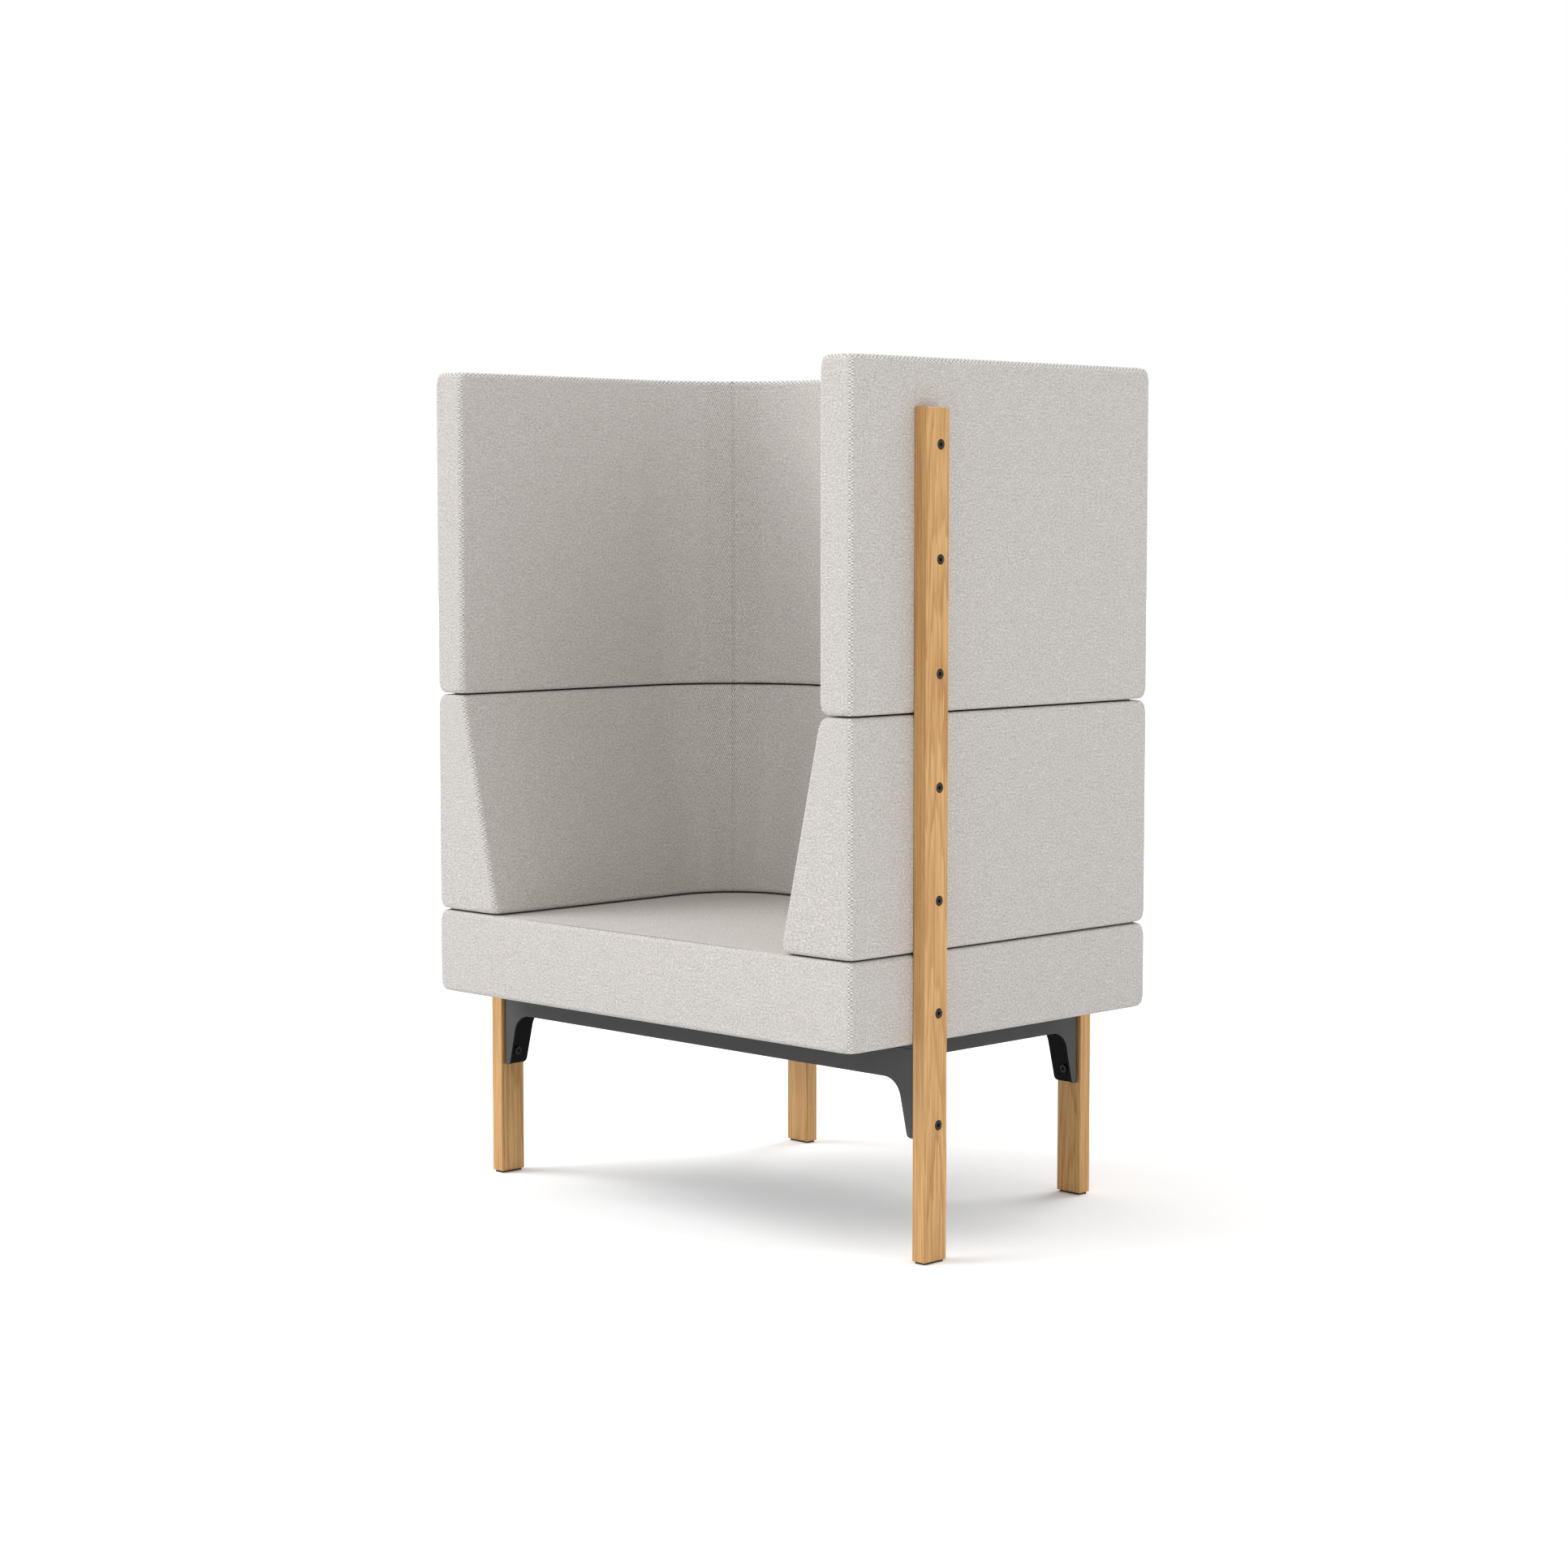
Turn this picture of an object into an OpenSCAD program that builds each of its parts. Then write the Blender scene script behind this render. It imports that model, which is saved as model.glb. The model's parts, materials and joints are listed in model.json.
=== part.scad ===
// Acoustic high back lounge chair: an upholstered seat block, a wedge-sided lower ring and a
// tall privacy ring, stacked with dark shadow gaps and bolted to four full-height oak posts that
// run on down as the legs, with a folded sheet-steel frame under the seat.
// Millimetres. +Z is up, the open front faces -Y, and the floor is Z = 0 under the middle.

/* [Blocks] */
// Width over the upholstery
body_w = 898; // [820:1:1000]
// Depth of the upholstery
body_d = 652; // [600:1:760]
// Floor to the underside of the seat block
seat_z = 313; // [290:1:360]
// Height of the seat block
seat_h = 128; // [116:1:160]
// Height of the lower ring
lower_h = 337; // [300:1:400]
// Height of the upper ring
upper_h = 497; // [420:1:600]
// Open gap between two blocks
shadow_gap = 2.5; // [2:0.1:4]

/* [Walls] */
// Thickness of the upper ring, and of the lower ring at its top
wall_t = 65; // [60:1:80]
// Thickness of the lower ring at the seat
arm_t = 142; // [110:1:160]
// Plan radius of the inner corners of the upper ring
corner_r = 190; // [150:1:220]

/* [Upholstery] */
// Radius of the top and bottom edges of a block
edge_r = 8; // [6:0.5:10]
// Radius of the upright edges at mid height
upright_r = 9; // [8.5:0.5:12]
// Radius of the upright edges where they meet the top and bottom
tip_r = 20; // [14:0.5:22]
// Height over which an upright edge grows to its tip radius
tip_reach = 32; // [24:1:40]
// How far an inner face bellies out at mid height
face_crown = 2; // [0.5:0.5:4]
// How far the seat bellies up between the arms
seat_crown = 5; // [2:0.5:8]
// Thickness of the cover with its wadding
cover_t = 8; // [7:0.5:9]
// Thickness of the cover where it turns under a block
lip_t = 4; // [3:0.5:5]
// Radius of the upright edges of the foam
foam_r = 4; // [3:0.5:6]
// Clearance between a soft piece and what it wraps
soft_gap = 0.3; // [0.2:0.1:0.5]

/* [Boards] */
// Thickness of the plywood boards
board_t = 15; // [12:1:16]
// Distance of the boards from the outer face of a block
board_inset = 20; // [18:1:22]
// Height of the boards of the seat box
seat_board_h = 60; // [54:1:66]
// Width of the two battens across the seat box
batten_w = 60; // [50:1:80]
// Thickness of the battens
batten_t = 18; // [15:1:22]
// Distance from the front to the middle of the front batten
batten_setback = 160; // [150:1:180]
// Width of the seat webbing
webbing_w = 50; // [40:1:60]
// Thickness of the seat webbing
webbing_t = 1.5; // [1:0.5:2]
// Thickness of the black cloth under the seat
dust_cover_t = 1.5; // [1:0.5:2]

/* [Posts] */
// Width of a post along the block it stands against
post_w = 47; // [42:1:50]
// Thickness of a post
post_t = 24; // [22:1:30]
// Distance of the top of a post below the top of the chair
post_drop = 70; // [40:1:90]
// Distance of a post from the nearest corner of the blocks
post_inset = 127; // [110:1:140]
// Radius of the long edges of a post
post_edge_r = 2; // [1:0.5:6]
// Chamfer of the ends of a post
post_chamfer = 1.5; // [1:0.5:2.5]
// Clearance between a post and the blocks
post_gap = 0.3; // [0.2:0.1:0.5]
// Height of a plastic glide
glide_h = 3; // [2:0.5:5]
// How far a glide stands back from the outline of its post
glide_inset = 3; // [2:0.5:5]
// Diameter of the nail of a glide
glide_nail_d = 4; // [3:0.5:5]
// Length of the nail of a glide
glide_nail_l = 16; // [12:1:25]

/* [Bolts] */
// Drop of the lowest bolt below the seat block
bolt_drop = 115; // [110:1:120]
// Height of the seat block's bolt above the underside of the block
seat_bolt_rise = 45; // [40:1:50]
// Height of the lower ring's first bolt above the underside of the ring
lower_bolt_rise = 74.5; // [60:0.5:90]
// Height of the upper ring's first bolt above the underside of the ring
upper_bolt_rise = 55; // [45:1:70]
// Distance of the bolts from the edge of a post that is nearest the fold of its bracket
bolt_inset = 29; // [24:1:32]
// Distance between two bolts of a ring
bolt_pitch = 160; // [150:1:175]
// Diameter of a bolt
bolt_d = 8; // [6:0.5:9]
// Diameter of a bolt head
head_d = 14; // [13:0.5:15]
// Height of a bolt head
head_h = 3.6; // [3:0.1:4.5]
// Width across the corners of the hexagon socket
socket_d = 6; // [5:0.5:7]
// Depth of the hexagon socket
socket_depth = 2.6; // [2:0.1:2.8]
// Depth of the recess for a bolt head
counterbore_depth = 4; // [3.8:0.1:6]
// Radial clearance of a bolt, a nut or an insert in its hole
hole_gap = 0.25; // [0.2:0.05:0.4]
// Outside diameter of a threaded insert
insert_d = 12; // [11:0.5:13]
// Diameter of the sleeve of a sleeve nut
sleeve_d = 10; // [9.5:0.5:11]
// Length of the sleeve of a sleeve nut in the wood
sleeve_l = 12; // [8:1:14]

/* [Steel frame] */
// Thickness of the folded sheet steel
sheet_t = 4; // [3:0.5:5]
// Outside radius of a fold
fold_r = 6; // [5.5:0.5:7]
// Height of a rail
rail_h = 44; // [38:1:50]
// Open gap between the rails and the seat block
frame_gap = 7.5; // [5:0.5:10]
// Distance from the face of a rail to the front or outer face of its post
frame_setback = 5; // [4:0.5:7]
// Drop of a tab below its rail
tab_drop = 83.5; // [78:0.5:92]
// Width of the foot of the tab on the rail
tab_foot = 14; // [11:0.5:18]
// Width of the foot of the tab that is bolted to the post
flange_foot = 44; // [40:1:50]
// Widening of a tab for each unit of height
tab_taper_share = 0.23; // [0.18:0.01:0.28]
// Radius where a tab flows into its rail
throat_r = 32; // [24:1:36]
// Radius of the foot of a tab
foot_r = 8; // [5:0.5:9]
// Width of a bolted tab beside the rail
flange_top = 65; // [62:1:70]
// Width of a seat lug
lug_w = 40; // [30:1:50]
// Distance from the middle of the chair to a seat lug
lug_x = 200; // [150:1:230]
// Diameter of a rubber spacer under the seat
spacer_d = 30; // [24:1:36]
// Diameter of a seat screw
screw_d = 6; // [5:0.5:7]
// Depth of a seat screw in its batten
screw_grip = 12; // [10:1:14]
// Diameter of the head of a seat screw
screw_head_d = 11; // [10:0.5:12]

/* [Detail] */
// Facets around an upright edge
edge_steps = 4; // [3:1:6]
// Facets up a top or bottom edge
fillet_steps = 4; // [3:1:6]
// Facets around an inner corner
bend_steps = 10; // [8:1:14]

/* [Hidden] */
$fn = 48;

fabric = [0.82, 0.80, 0.77];
padding = [0.93, 0.90, 0.80];
plywood = [0.80, 0.66, 0.46];
oak = [0.80, 0.62, 0.38];
steel = [0.20, 0.20, 0.21];
black = [0.06, 0.06, 0.06];
zinc = [0.70, 0.70, 0.72];

// Overrun of every cut
cut = 1;

seat_top = seat_z + seat_h;
lower_z = seat_top + shadow_gap;
lower_top = lower_z + lower_h;
upper_z = lower_top + shadow_gap;
upper_top = upper_z + upper_h;
post_top = upper_top - post_drop;

// The blocks start at this Y, so that the whole chair is centred over its feet
front_y = -(body_d + post_gap + post_t) / 2;

// Centre of an inner corner of both rings
bend_x = body_w / 2 - wall_t - corner_r;
bend_y = body_d - wall_t - corner_r;

board_x = body_w / 2 - board_inset;
board_back = body_d - board_inset;
seat_board_z = seat_z + lip_t;
deck_z = seat_board_z + seat_board_h;
deck_top = deck_z + 2 * webbing_t;

// Faces that the bolt heads bear on, measured out from the middle and back from the front
post_x = body_w / 2 + post_gap;
post_y = body_d + post_gap;
bearing = post_t - counterbore_depth;
bolt_z = seat_z - bolt_drop;
bolt_y = post_inset + bolt_inset;
bolt_x = body_w / 2 - bolt_y;
bolt_r = bolt_d / 2;
counterbore_r = head_d / 2 + 2 * hole_gap;
frame_bolt_l = bearing + post_gap + sheet_t / 2;
board_bolt_l = bearing + post_gap + board_inset + board_t;
seat_bolts = [seat_z + seat_bolt_rise];
lower_bolts = [for (i = [0 : 1]) lower_z + lower_bolt_rise + i * bolt_pitch];
upper_bolts = [for (i = [0 : 2]) upper_z + upper_bolt_rise + i * bolt_pitch];
bolt_heights = concat([bolt_z], seat_bolts, lower_bolts, upper_bolts);

rail_top = seat_z - frame_gap;
rail_z = rail_top - rail_h;
tab_z = rail_z - tab_drop;
tab_slope = sqrt(1 + tab_taper_share * tab_taper_share);
// Outer faces of the side rails and of the front rail's ends
side_rail_x = body_w / 2 - post_inset - frame_setback;
front_rail_y = post_inset + frame_setback;
rear_rail_y = body_d - 2 * sheet_t;
spacer_z = seat_board_z - dust_cover_t;
rear_batten_y = board_back - board_t - batten_w / 2;

// Shares of the height where a level is set between the two ends of a block
mid_shares = [0.2, 0.4, 0.6, 0.8];
// Shares of the tip reach where a level is set beyond a rounded edge
tip_shares = [0.4, 0.7, 1];
// Shares of the outline for the rings of the crowned seat
crown_shares = [0.88, 0.7, 0.5, 0.3, 0.12];

// Points of an arc about [x, y]
function arc(x, y, r, start, end, steps) =
    [for (i = [0 : steps]) let (a = start + (end - start) * i / steps) [x + r * cos(a), y + r * sin(a)]];

// Points between p and q, without the two
function between(p, q, steps) = [for (i = [1 : steps - 1]) p + (q - p) * i / steps];

// Smooth rise from 0 to 1
function ease(t) = t * t * (3 - 2 * t);

// Upright edge radius at height h above or below the nearer end of a block
function upright(h) = upright_r + (tip_r - upright_r) * (1 - ease(min(1, h / tip_reach)));

// Levels of one end of a block: the height above it, and how far the outline is drawn in
end_levels = concat(
    [for (i = [0 : fillet_steps]) let (a = 90 * i / fillet_steps) [edge_r * (1 - cos(a)), edge_r * (1 - sin(a))]],
    [for (s = tip_shares) [edge_r + s * (tip_reach - edge_r), 0]]);

// Levels of a whole block of height h: the height, the height to the nearer end, the draw-in
function levels(h, shares) = concat(
    [for (e = end_levels) [e[0], e[0], e[1]]],
    [for (s = shares) [tip_reach + s * (h - 2 * tip_reach), tip_reach, 0]],
    [for (i = [len(end_levels) - 1 : -1 : 0]) [h - end_levels[i][0], end_levels[i][0], end_levels[i][1]]]);

// Outline of a ring with walls of this thickness, drawn in by inset, counterclockwise from the
// front right corner; the three corners at the back of the opening share one centre at all heights
function ring_outline(wall, r, inset) =
    let (x = body_w / 2 - r, y = body_d - r, q = r - inset,
        xi = body_w / 2 - wall + r, bend = corner_r - wall + wall_t + inset)
    concat(
        arc(x, r, q, -90, 0, edge_steps),
        arc(x, y, q, 0, 90, edge_steps),
        arc(-x, y, q, 90, 180, edge_steps),
        arc(-x, r, q, 180, 270, edge_steps),
        arc(-xi, r, q, 270, 360, edge_steps),
        arc(-bend_x, bend_y, bend, 180, 90, bend_steps),
        arc(bend_x, bend_y, bend, 90, 0, bend_steps),
        arc(xi, r, q, 180, 270, edge_steps));

// Outline of the seat block drawn in by inset, with points along its sides for the crown
function seat_outline(r, inset) =
    let (x = body_w / 2 - r, y = body_d - r, q = r - inset,
        right_front = arc(x, r, q, -90, 0, edge_steps), right_back = arc(x, y, q, 0, 90, edge_steps),
        left_back = arc(-x, y, q, 90, 180, edge_steps), left_front = arc(-x, r, q, 180, 270, edge_steps))
    concat(
        right_front, between(right_front[edge_steps], right_back[0], 6),
        right_back, between(right_back[edge_steps], left_back[0], 8),
        left_back, between(left_back[edge_steps], left_front[0], 6),
        left_front, between(left_front[edge_steps], right_front[0], 8));

// Belly of the seat surface between the arms at [x, y]
function belly(p) =
    let (half_w = body_w / 2 - arm_t, half_d = (body_d - arm_t) / 2,
        u = min(1, abs(p[0]) / half_w), v = min(1, abs(p[1] - half_d) / half_d))
    seat_crown * (1 - u * u) * (1 - u * u) * (1 - v * v);

function lifted(outline, z) = [for (p = outline) [p[0], p[1], z]];

// Faces around a stack of outlines that all have n points
function wall_faces(levels, n) = [for (j = [0 : levels - 2], i = [0 : n - 1])
    let (a = j * n + i, b = j * n + (i + 1) % n) each [[a, a + n, b + n], [a, b + n, b]]];

// For each point along the inside of a ring outline, the outer point across the wall from it
across = concat(
    [for (i = [0 : edge_steps]) i],
    [for (k = [0 : bend_steps]) edge_steps + 1 + floor(k * edge_steps / bend_steps + 1 / 2)],
    [for (k = [0 : bend_steps]) 2 * (edge_steps + 1) + floor(k * edge_steps / bend_steps + 1 / 2)],
    [for (i = [0 : edge_steps]) 3 * (edge_steps + 1) + i]);

// Upward faces of a strip that closes a ring outline of n points, from one end of the U to the other
function strip_faces(n) = [for (j = [0 : len(across) - 2])
    let (a = across[j], b = across[j + 1], p = n - 1 - j)
    each concat([[p, p - 1, a]], b > a ? [[b, a, p - 1]] : [])];

function flipped(faces) = [for (f = faces) [f[2], f[1], f[0]]];

function raised(faces, by) = [for (f = faces) [f[0] + by, f[1] + by, f[2] + by]];

// Skin over a stack of ring outlines
module ring_skin(rings) {
    n = len(rings[0]);
    strip = strip_faces(n);
    polyhedron([for (ring = rings) each ring],
        concat(wall_faces(len(rings), n), flipped(strip), raised(strip, (len(rings) - 1) * n)));
}

// Skin over a stack of closed outlines that ends in a point at each end
module dome_skin(rings, low_point, high_point) {
    n = len(rings[0]);
    last = (len(rings) - 1) * n;
    polyhedron(concat([for (ring = rings) each ring], [low_point, high_point]),
        concat(wall_faces(len(rings), n),
            [for (i = [0 : n - 1]) [i, (i + 1) % n, last + n]],
            [for (i = [0 : n - 1]) [last + (i + 1) % n, last + i, last + n + 1]]));
}

// Puts a piece that is drawn back from the front faces of the blocks into the chair's frame
module placed() {
    translate([0, front_y, 0]) children();
}

module mirrored() {
    children();
    mirror([1, 0, 0]) children();
}

// Outer form of a ring that stands at z: foot_wall thick at the bottom and wall_t at the top
module ring_form(z, h, foot_wall) {
    ring_skin([for (l = levels(h, mid_shares))
        let (t = l[0] / h, wall = foot_wall + (wall_t - foot_wall) * t + face_crown * sin(180 * t))
        lifted(ring_outline(wall, upright(l[1]), l[2]), z + l[0])]);
}

// Inside of a ring's cover, drawn in by inset from the outside, from its lip to under its top
module ring_core(z, h, foot_wall, inset) {
    low = lip_t / h;
    high = 1 - inset / h;
    ring_skin([for (t = [low, high])
        lifted(ring_outline(foot_wall + (wall_t - foot_wall) * t, inset + foam_r, inset), z + h * t)]);
}

// U-shaped band of the boards' plan, wider by grow on both sides
module board_band(grow) {
    difference() {
        translate([-board_x - grow, board_inset - grow])
            square([2 * (board_x + grow), board_back - board_inset + 2 * grow]);
        translate([-board_x + board_t + grow, board_inset - grow - cut])
            square([2 * (board_x - board_t - grow), board_back - board_t - board_inset + cut]);
    }
}

// A rod of radius r in from the right post's side of the blocks, from one depth to another
module side_rod(z, r, from, to) {
    translate([body_w / 2 - to, bolt_y, z]) rotate([0, 90, 0]) cylinder(r = r, h = to - from);
}

// The same rod in from the back of the blocks
module back_rod(z, r, from, to) {
    translate([bolt_x, body_d - from, z]) rotate([90, 0, 0]) cylinder(r = r, h = to - from);
}

// Rods at all four posts at these heights
module rods(heights, r, from, to) {
    for (z = heights) {
        mirrored() side_rod(z, r, from, to);
        mirrored() back_rod(z, r, from, to);
    }
}

module ring_cover(z, h, foot_wall, heights) {
    color(fabric) placed() difference() {
        ring_form(z, h, foot_wall);
        ring_core(z, h, foot_wall, cover_t);
        translate([0, 0, z - cut]) linear_extrude(lip_t + 2 * cut) board_band(soft_gap);
        rods(heights, bolt_r + hole_gap, -cut, cover_t + cut);
    }
}

module ring_foam(z, h, foot_wall, heights) {
    color(padding) placed() difference() {
        ring_core(z, h, foot_wall, cover_t + soft_gap);
        translate([0, 0, z]) linear_extrude(ring_board_h(h) + lip_t + soft_gap) board_band(soft_gap);
        rods(heights, bolt_r + hole_gap, 0, board_inset);
    }
}

// Height of the boards in a ring of height h
function ring_board_h(h) = h - lip_t - cover_t - board_inset / 2;

// A plywood board that runs from front to back on the right
module side_board(z, h, heights) {
    difference() {
        translate([board_x - board_t, board_inset, z]) cube([board_t, board_back - board_inset, h]);
        for (b = heights) side_rod(b, insert_d / 2 + hole_gap, board_inset - cut, board_inset + board_t + cut);
    }
}

// A plywood board that stands across the back, between the side boards
module back_board(z, h, heights) {
    difference() {
        translate([-board_x + board_t, board_back - board_t, z]) cube([2 * (board_x - board_t), board_t, h]);
        for (b = heights)
            mirrored() back_rod(b, insert_d / 2 + hole_gap, board_inset - cut, board_inset + board_t + cut);
    }
}

module inserts(heights) {
    color(zinc) placed() difference() {
        rods(heights, insert_d / 2, board_inset, board_inset + board_t);
        rods(heights, bolt_r + hole_gap, board_inset - cut, board_inset + board_t + cut);
    }
}

// Black strip that stands on the block below and carries the boards of the ring above
module spacer(z) {
    color(black) placed() translate([0, 0, z - shadow_gap]) linear_extrude(shadow_gap + lip_t) board_band(0);
}

module seat_cover() {
    sides = [for (l = levels(seat_h, [])) lifted(seat_outline(upright(l[1]), l[2]), seat_z + l[0])];
    rim = seat_outline(tip_r, edge_r);
    middle = [0, body_d / 2];
    crown = [for (s = crown_shares) [for (p = rim)
        let (q = middle + (p - middle) * s) [q[0], q[1], seat_top + belly(q)]]];
    color(fabric) placed() difference() {
        dome_skin(concat(sides, crown), [middle[0], middle[1], seat_z],
            [middle[0], middle[1], seat_top + belly(middle)]);
        translate([0, 0, seat_board_z]) linear_extrude(seat_h - lip_t - cover_t) seat_plan(cover_t);
        translate([0, 0, seat_z - cut]) linear_extrude(lip_t + 2 * cut) seat_plan(board_inset + board_t);
        rods(seat_bolts, bolt_r + hole_gap, -cut, cover_t + cut);
    }
}

// Plain plan of the seat block drawn in by inset
module seat_plan(inset) {
    translate([-body_w / 2 + inset, inset]) square([body_w - 2 * inset, body_d - 2 * inset]);
}

module seat_foam() {
    color(padding) placed() difference() {
        translate([0, 0, seat_board_z])
            linear_extrude(seat_h - lip_t - cover_t - soft_gap) seat_plan(cover_t + soft_gap);
        translate([0, 0, seat_z]) linear_extrude(deck_top - seat_z + soft_gap) seat_plan(board_inset - soft_gap);
        rods(seat_bolts, bolt_r + hole_gap, 0, board_inset);
    }
}

// Webbing stretched over the seat box: straps across, with straps from front to back over them
module seat_webbing() {
    straps_across = 5;
    straps_along = 6;
    span_x = 2 * board_x;
    span_y = board_back - board_inset;
    color(black) placed() {
        for (i = [0 : straps_across - 1])
            translate([-board_x, board_inset + span_y * (i + 1 / 2) / straps_across - webbing_w / 2, deck_z])
                cube([span_x, webbing_w, webbing_t]);
        for (i = [0 : straps_along - 1])
            translate([-board_x + span_x * (i + 1 / 2) / straps_along - webbing_w / 2, board_inset, deck_z + webbing_t])
                cube([webbing_w, span_y, webbing_t]);
    }
}

module seat_left_board() {
    color(plywood) placed() mirror([1, 0, 0]) side_board(seat_board_z, seat_board_h, seat_bolts);
}

module seat_right_board() {
    color(plywood) placed() side_board(seat_board_z, seat_board_h, seat_bolts);
}

module seat_front_board() {
    color(plywood) placed() translate([-board_x + board_t, board_inset, seat_board_z])
        cube([2 * (board_x - board_t), board_t, seat_board_h]);
}

module seat_back_board() {
    color(plywood) placed() back_board(seat_board_z, seat_board_h, seat_bolts);
}

// A batten across the seat box, with pilot holes for the seat screws
module batten(y) {
    color(plywood) placed() difference() {
        translate([-board_x + board_t, y - batten_w / 2, seat_board_z])
            cube([2 * (board_x - board_t), batten_w, batten_t]);
        mirrored() translate([lug_x, y, seat_board_z - cut])
            cylinder(d = screw_d + 2 * hole_gap, h = screw_grip + 2 * cut);
    }
}

module seat_front_batten() {
    batten(batten_setback);
}

module seat_rear_batten() {
    batten(rear_batten_y);
}

// Black cloth that closes the seat box from below, inside the turned-under cover
module seat_dust_cover() {
    color(black) placed() difference() {
        translate([0, 0, spacer_z]) linear_extrude(dust_cover_t) seat_plan(board_inset + board_t + soft_gap);
        for (y = [batten_setback, rear_batten_y])
            mirrored() translate([lug_x, y, spacer_z - cut])
                cylinder(d = screw_d + 2 * hole_gap, h = dust_cover_t + 2 * cut);
    }
}

module lower_cover() {
    ring_cover(lower_z, lower_h, arm_t, lower_bolts);
}

module lower_foam() {
    ring_foam(lower_z, lower_h, arm_t, lower_bolts);
}

module lower_left_board() {
    color(plywood) placed() mirror([1, 0, 0]) side_board(lower_z + lip_t, ring_board_h(lower_h), lower_bolts);
}

module lower_right_board() {
    color(plywood) placed() side_board(lower_z + lip_t, ring_board_h(lower_h), lower_bolts);
}

module lower_back_board() {
    color(plywood) placed() back_board(lower_z + lip_t, ring_board_h(lower_h), lower_bolts);
}

module lower_spacer() {
    spacer(lower_z);
}

module upper_cover() {
    ring_cover(upper_z, upper_h, wall_t, upper_bolts);
}

module upper_foam() {
    ring_foam(upper_z, upper_h, wall_t, upper_bolts);
}

module upper_left_board() {
    color(plywood) placed() mirror([1, 0, 0]) side_board(upper_z + lip_t, ring_board_h(upper_h), upper_bolts);
}

module upper_right_board() {
    color(plywood) placed() side_board(upper_z + lip_t, ring_board_h(upper_h), upper_bolts);
}

module upper_back_board() {
    color(plywood) placed() back_board(upper_z + lip_t, ring_board_h(upper_h), upper_bolts);
}

module upper_spacer() {
    spacer(upper_z);
}

// Outline of a folded tab, seen square on: x runs from the fold, y is the height. The tab tapers
// to a rounded foot and flows into the rail, which runs on to rail_end.
module tab_profile(foot, rail_end) {
    mouth_y = rail_z - throat_r;
    mouth_x = foot + tab_taper_share * (mouth_y - tab_z) + throat_r * tab_slope;
    foot_x = foot + tab_taper_share * foot_r - foot_r * tab_slope;
    foot_y = tab_z + foot_r;
    heel = [foot_x + foot_r / tab_slope, foot_y - foot_r * tab_taper_share / tab_slope];
    neck = [mouth_x - throat_r / tab_slope, mouth_y + throat_r * tab_taper_share / tab_slope];
    intersection() {
        union() {
            translate([fold_r, rail_z]) square([rail_end - fold_r, rail_h]);
            polygon([[fold_r, tab_z], [foot_x, tab_z], [foot_x, foot_y], heel, neck, [neck[0], rail_z], [fold_r, rail_z]]);
            translate([foot_x, foot_y]) circle(r = foot_r);
            difference() {
                polygon([neck, [mouth_x, rail_z], [neck[0], rail_z]]);
                translate([mouth_x, mouth_y]) circle(r = throat_r);
            }
        }
        translate([fold_r, tab_z]) square([rail_end - fold_r, rail_top - tab_z]);
    }
}

// Two tabs at right angles with the fold between them: one faces -Y and runs on as the rail to
// rail_end, and the other faces +X and turns back along the post
module folded_tabs(rail_end) {
    translate([0, sheet_t, 0]) rotate([90, 0, 0]) linear_extrude(sheet_t) mirror([1, 0, 0])
        tab_profile(tab_foot, rail_end);
    difference() {
        translate([-sheet_t, 0, 0]) rotate([90, 0, 90]) linear_extrude(sheet_t)
            tab_profile(flange_foot, flange_top);
        translate([-sheet_t - cut, bolt_inset - frame_setback, bolt_z]) rotate([0, 90, 0])
            cylinder(d = sleeve_d + 2 * hole_gap, h = sheet_t + 2 * cut);
    }
    translate([0, 0, tab_z]) linear_extrude(rail_top - tab_z) intersection() {
        translate([-fold_r, 0]) square(fold_r);
        translate([-fold_r, fold_r]) difference() {
            circle(r = fold_r);
            circle(r = fold_r - sheet_t);
        }
    }
}

// A lug at the top of a rail whose far face is at y, drilled under the middle of a batten
module lug(y, hole_y) {
    reach = abs(hole_y - y) + lug_w / 2;
    difference() {
        translate([lug_x - lug_w / 2, hole_y > y ? y : y - reach, rail_top - sheet_t])
            cube([lug_w, reach, sheet_t]);
        translate([lug_x, hole_y, rail_top - sheet_t - cut])
            cylinder(d = screw_d + 2 * hole_gap, h = sheet_t + 2 * cut);
    }
}

module front_rail() {
    color(steel) placed() mirrored() {
        translate([body_w / 2, front_rail_y, 0]) folded_tabs(body_w / 2 + cut);
        lug(front_rail_y, batten_setback);
    }
}

// The right-hand side rail, from the front rail back to the rear post, with its bolted tab turned in
module side_rail() {
    length = body_d - front_rail_y - sheet_t;
    translate([side_rail_x, body_d, 0]) rotate([0, 0, 90]) folded_tabs(length);
}

module left_rail() {
    color(steel) placed() mirror([1, 0, 0]) side_rail();
}

module right_rail() {
    color(steel) placed() side_rail();
}

module rear_rail() {
    x = side_rail_x - sheet_t;
    color(steel) placed() union() {
        translate([-x, rear_rail_y, rail_z]) cube([2 * x, sheet_t, rail_h]);
        mirrored() lug(rear_rail_y + sheet_t, rear_batten_y);
    }
}

module seat_spacers() {
    color(black) placed() for (y = [batten_setback, rear_batten_y])
        mirrored() translate([lug_x, y, rail_top]) difference() {
            cylinder(d = spacer_d, h = spacer_z - rail_top);
            translate([0, 0, -cut]) cylinder(d = screw_d + 2 * hole_gap, h = spacer_z - rail_top + 2 * cut);
        }
}

module seat_screws() {
    length = seat_board_z + screw_grip - rail_top + sheet_t;
    color(zinc) placed() for (y = [batten_setback, rear_batten_y])
        mirrored() translate([lug_x, y, rail_top - sheet_t]) {
            cylinder(d = screw_d, h = length);
            translate([0, 0, -head_h]) socket_head(screw_head_d);
        }
}

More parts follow.
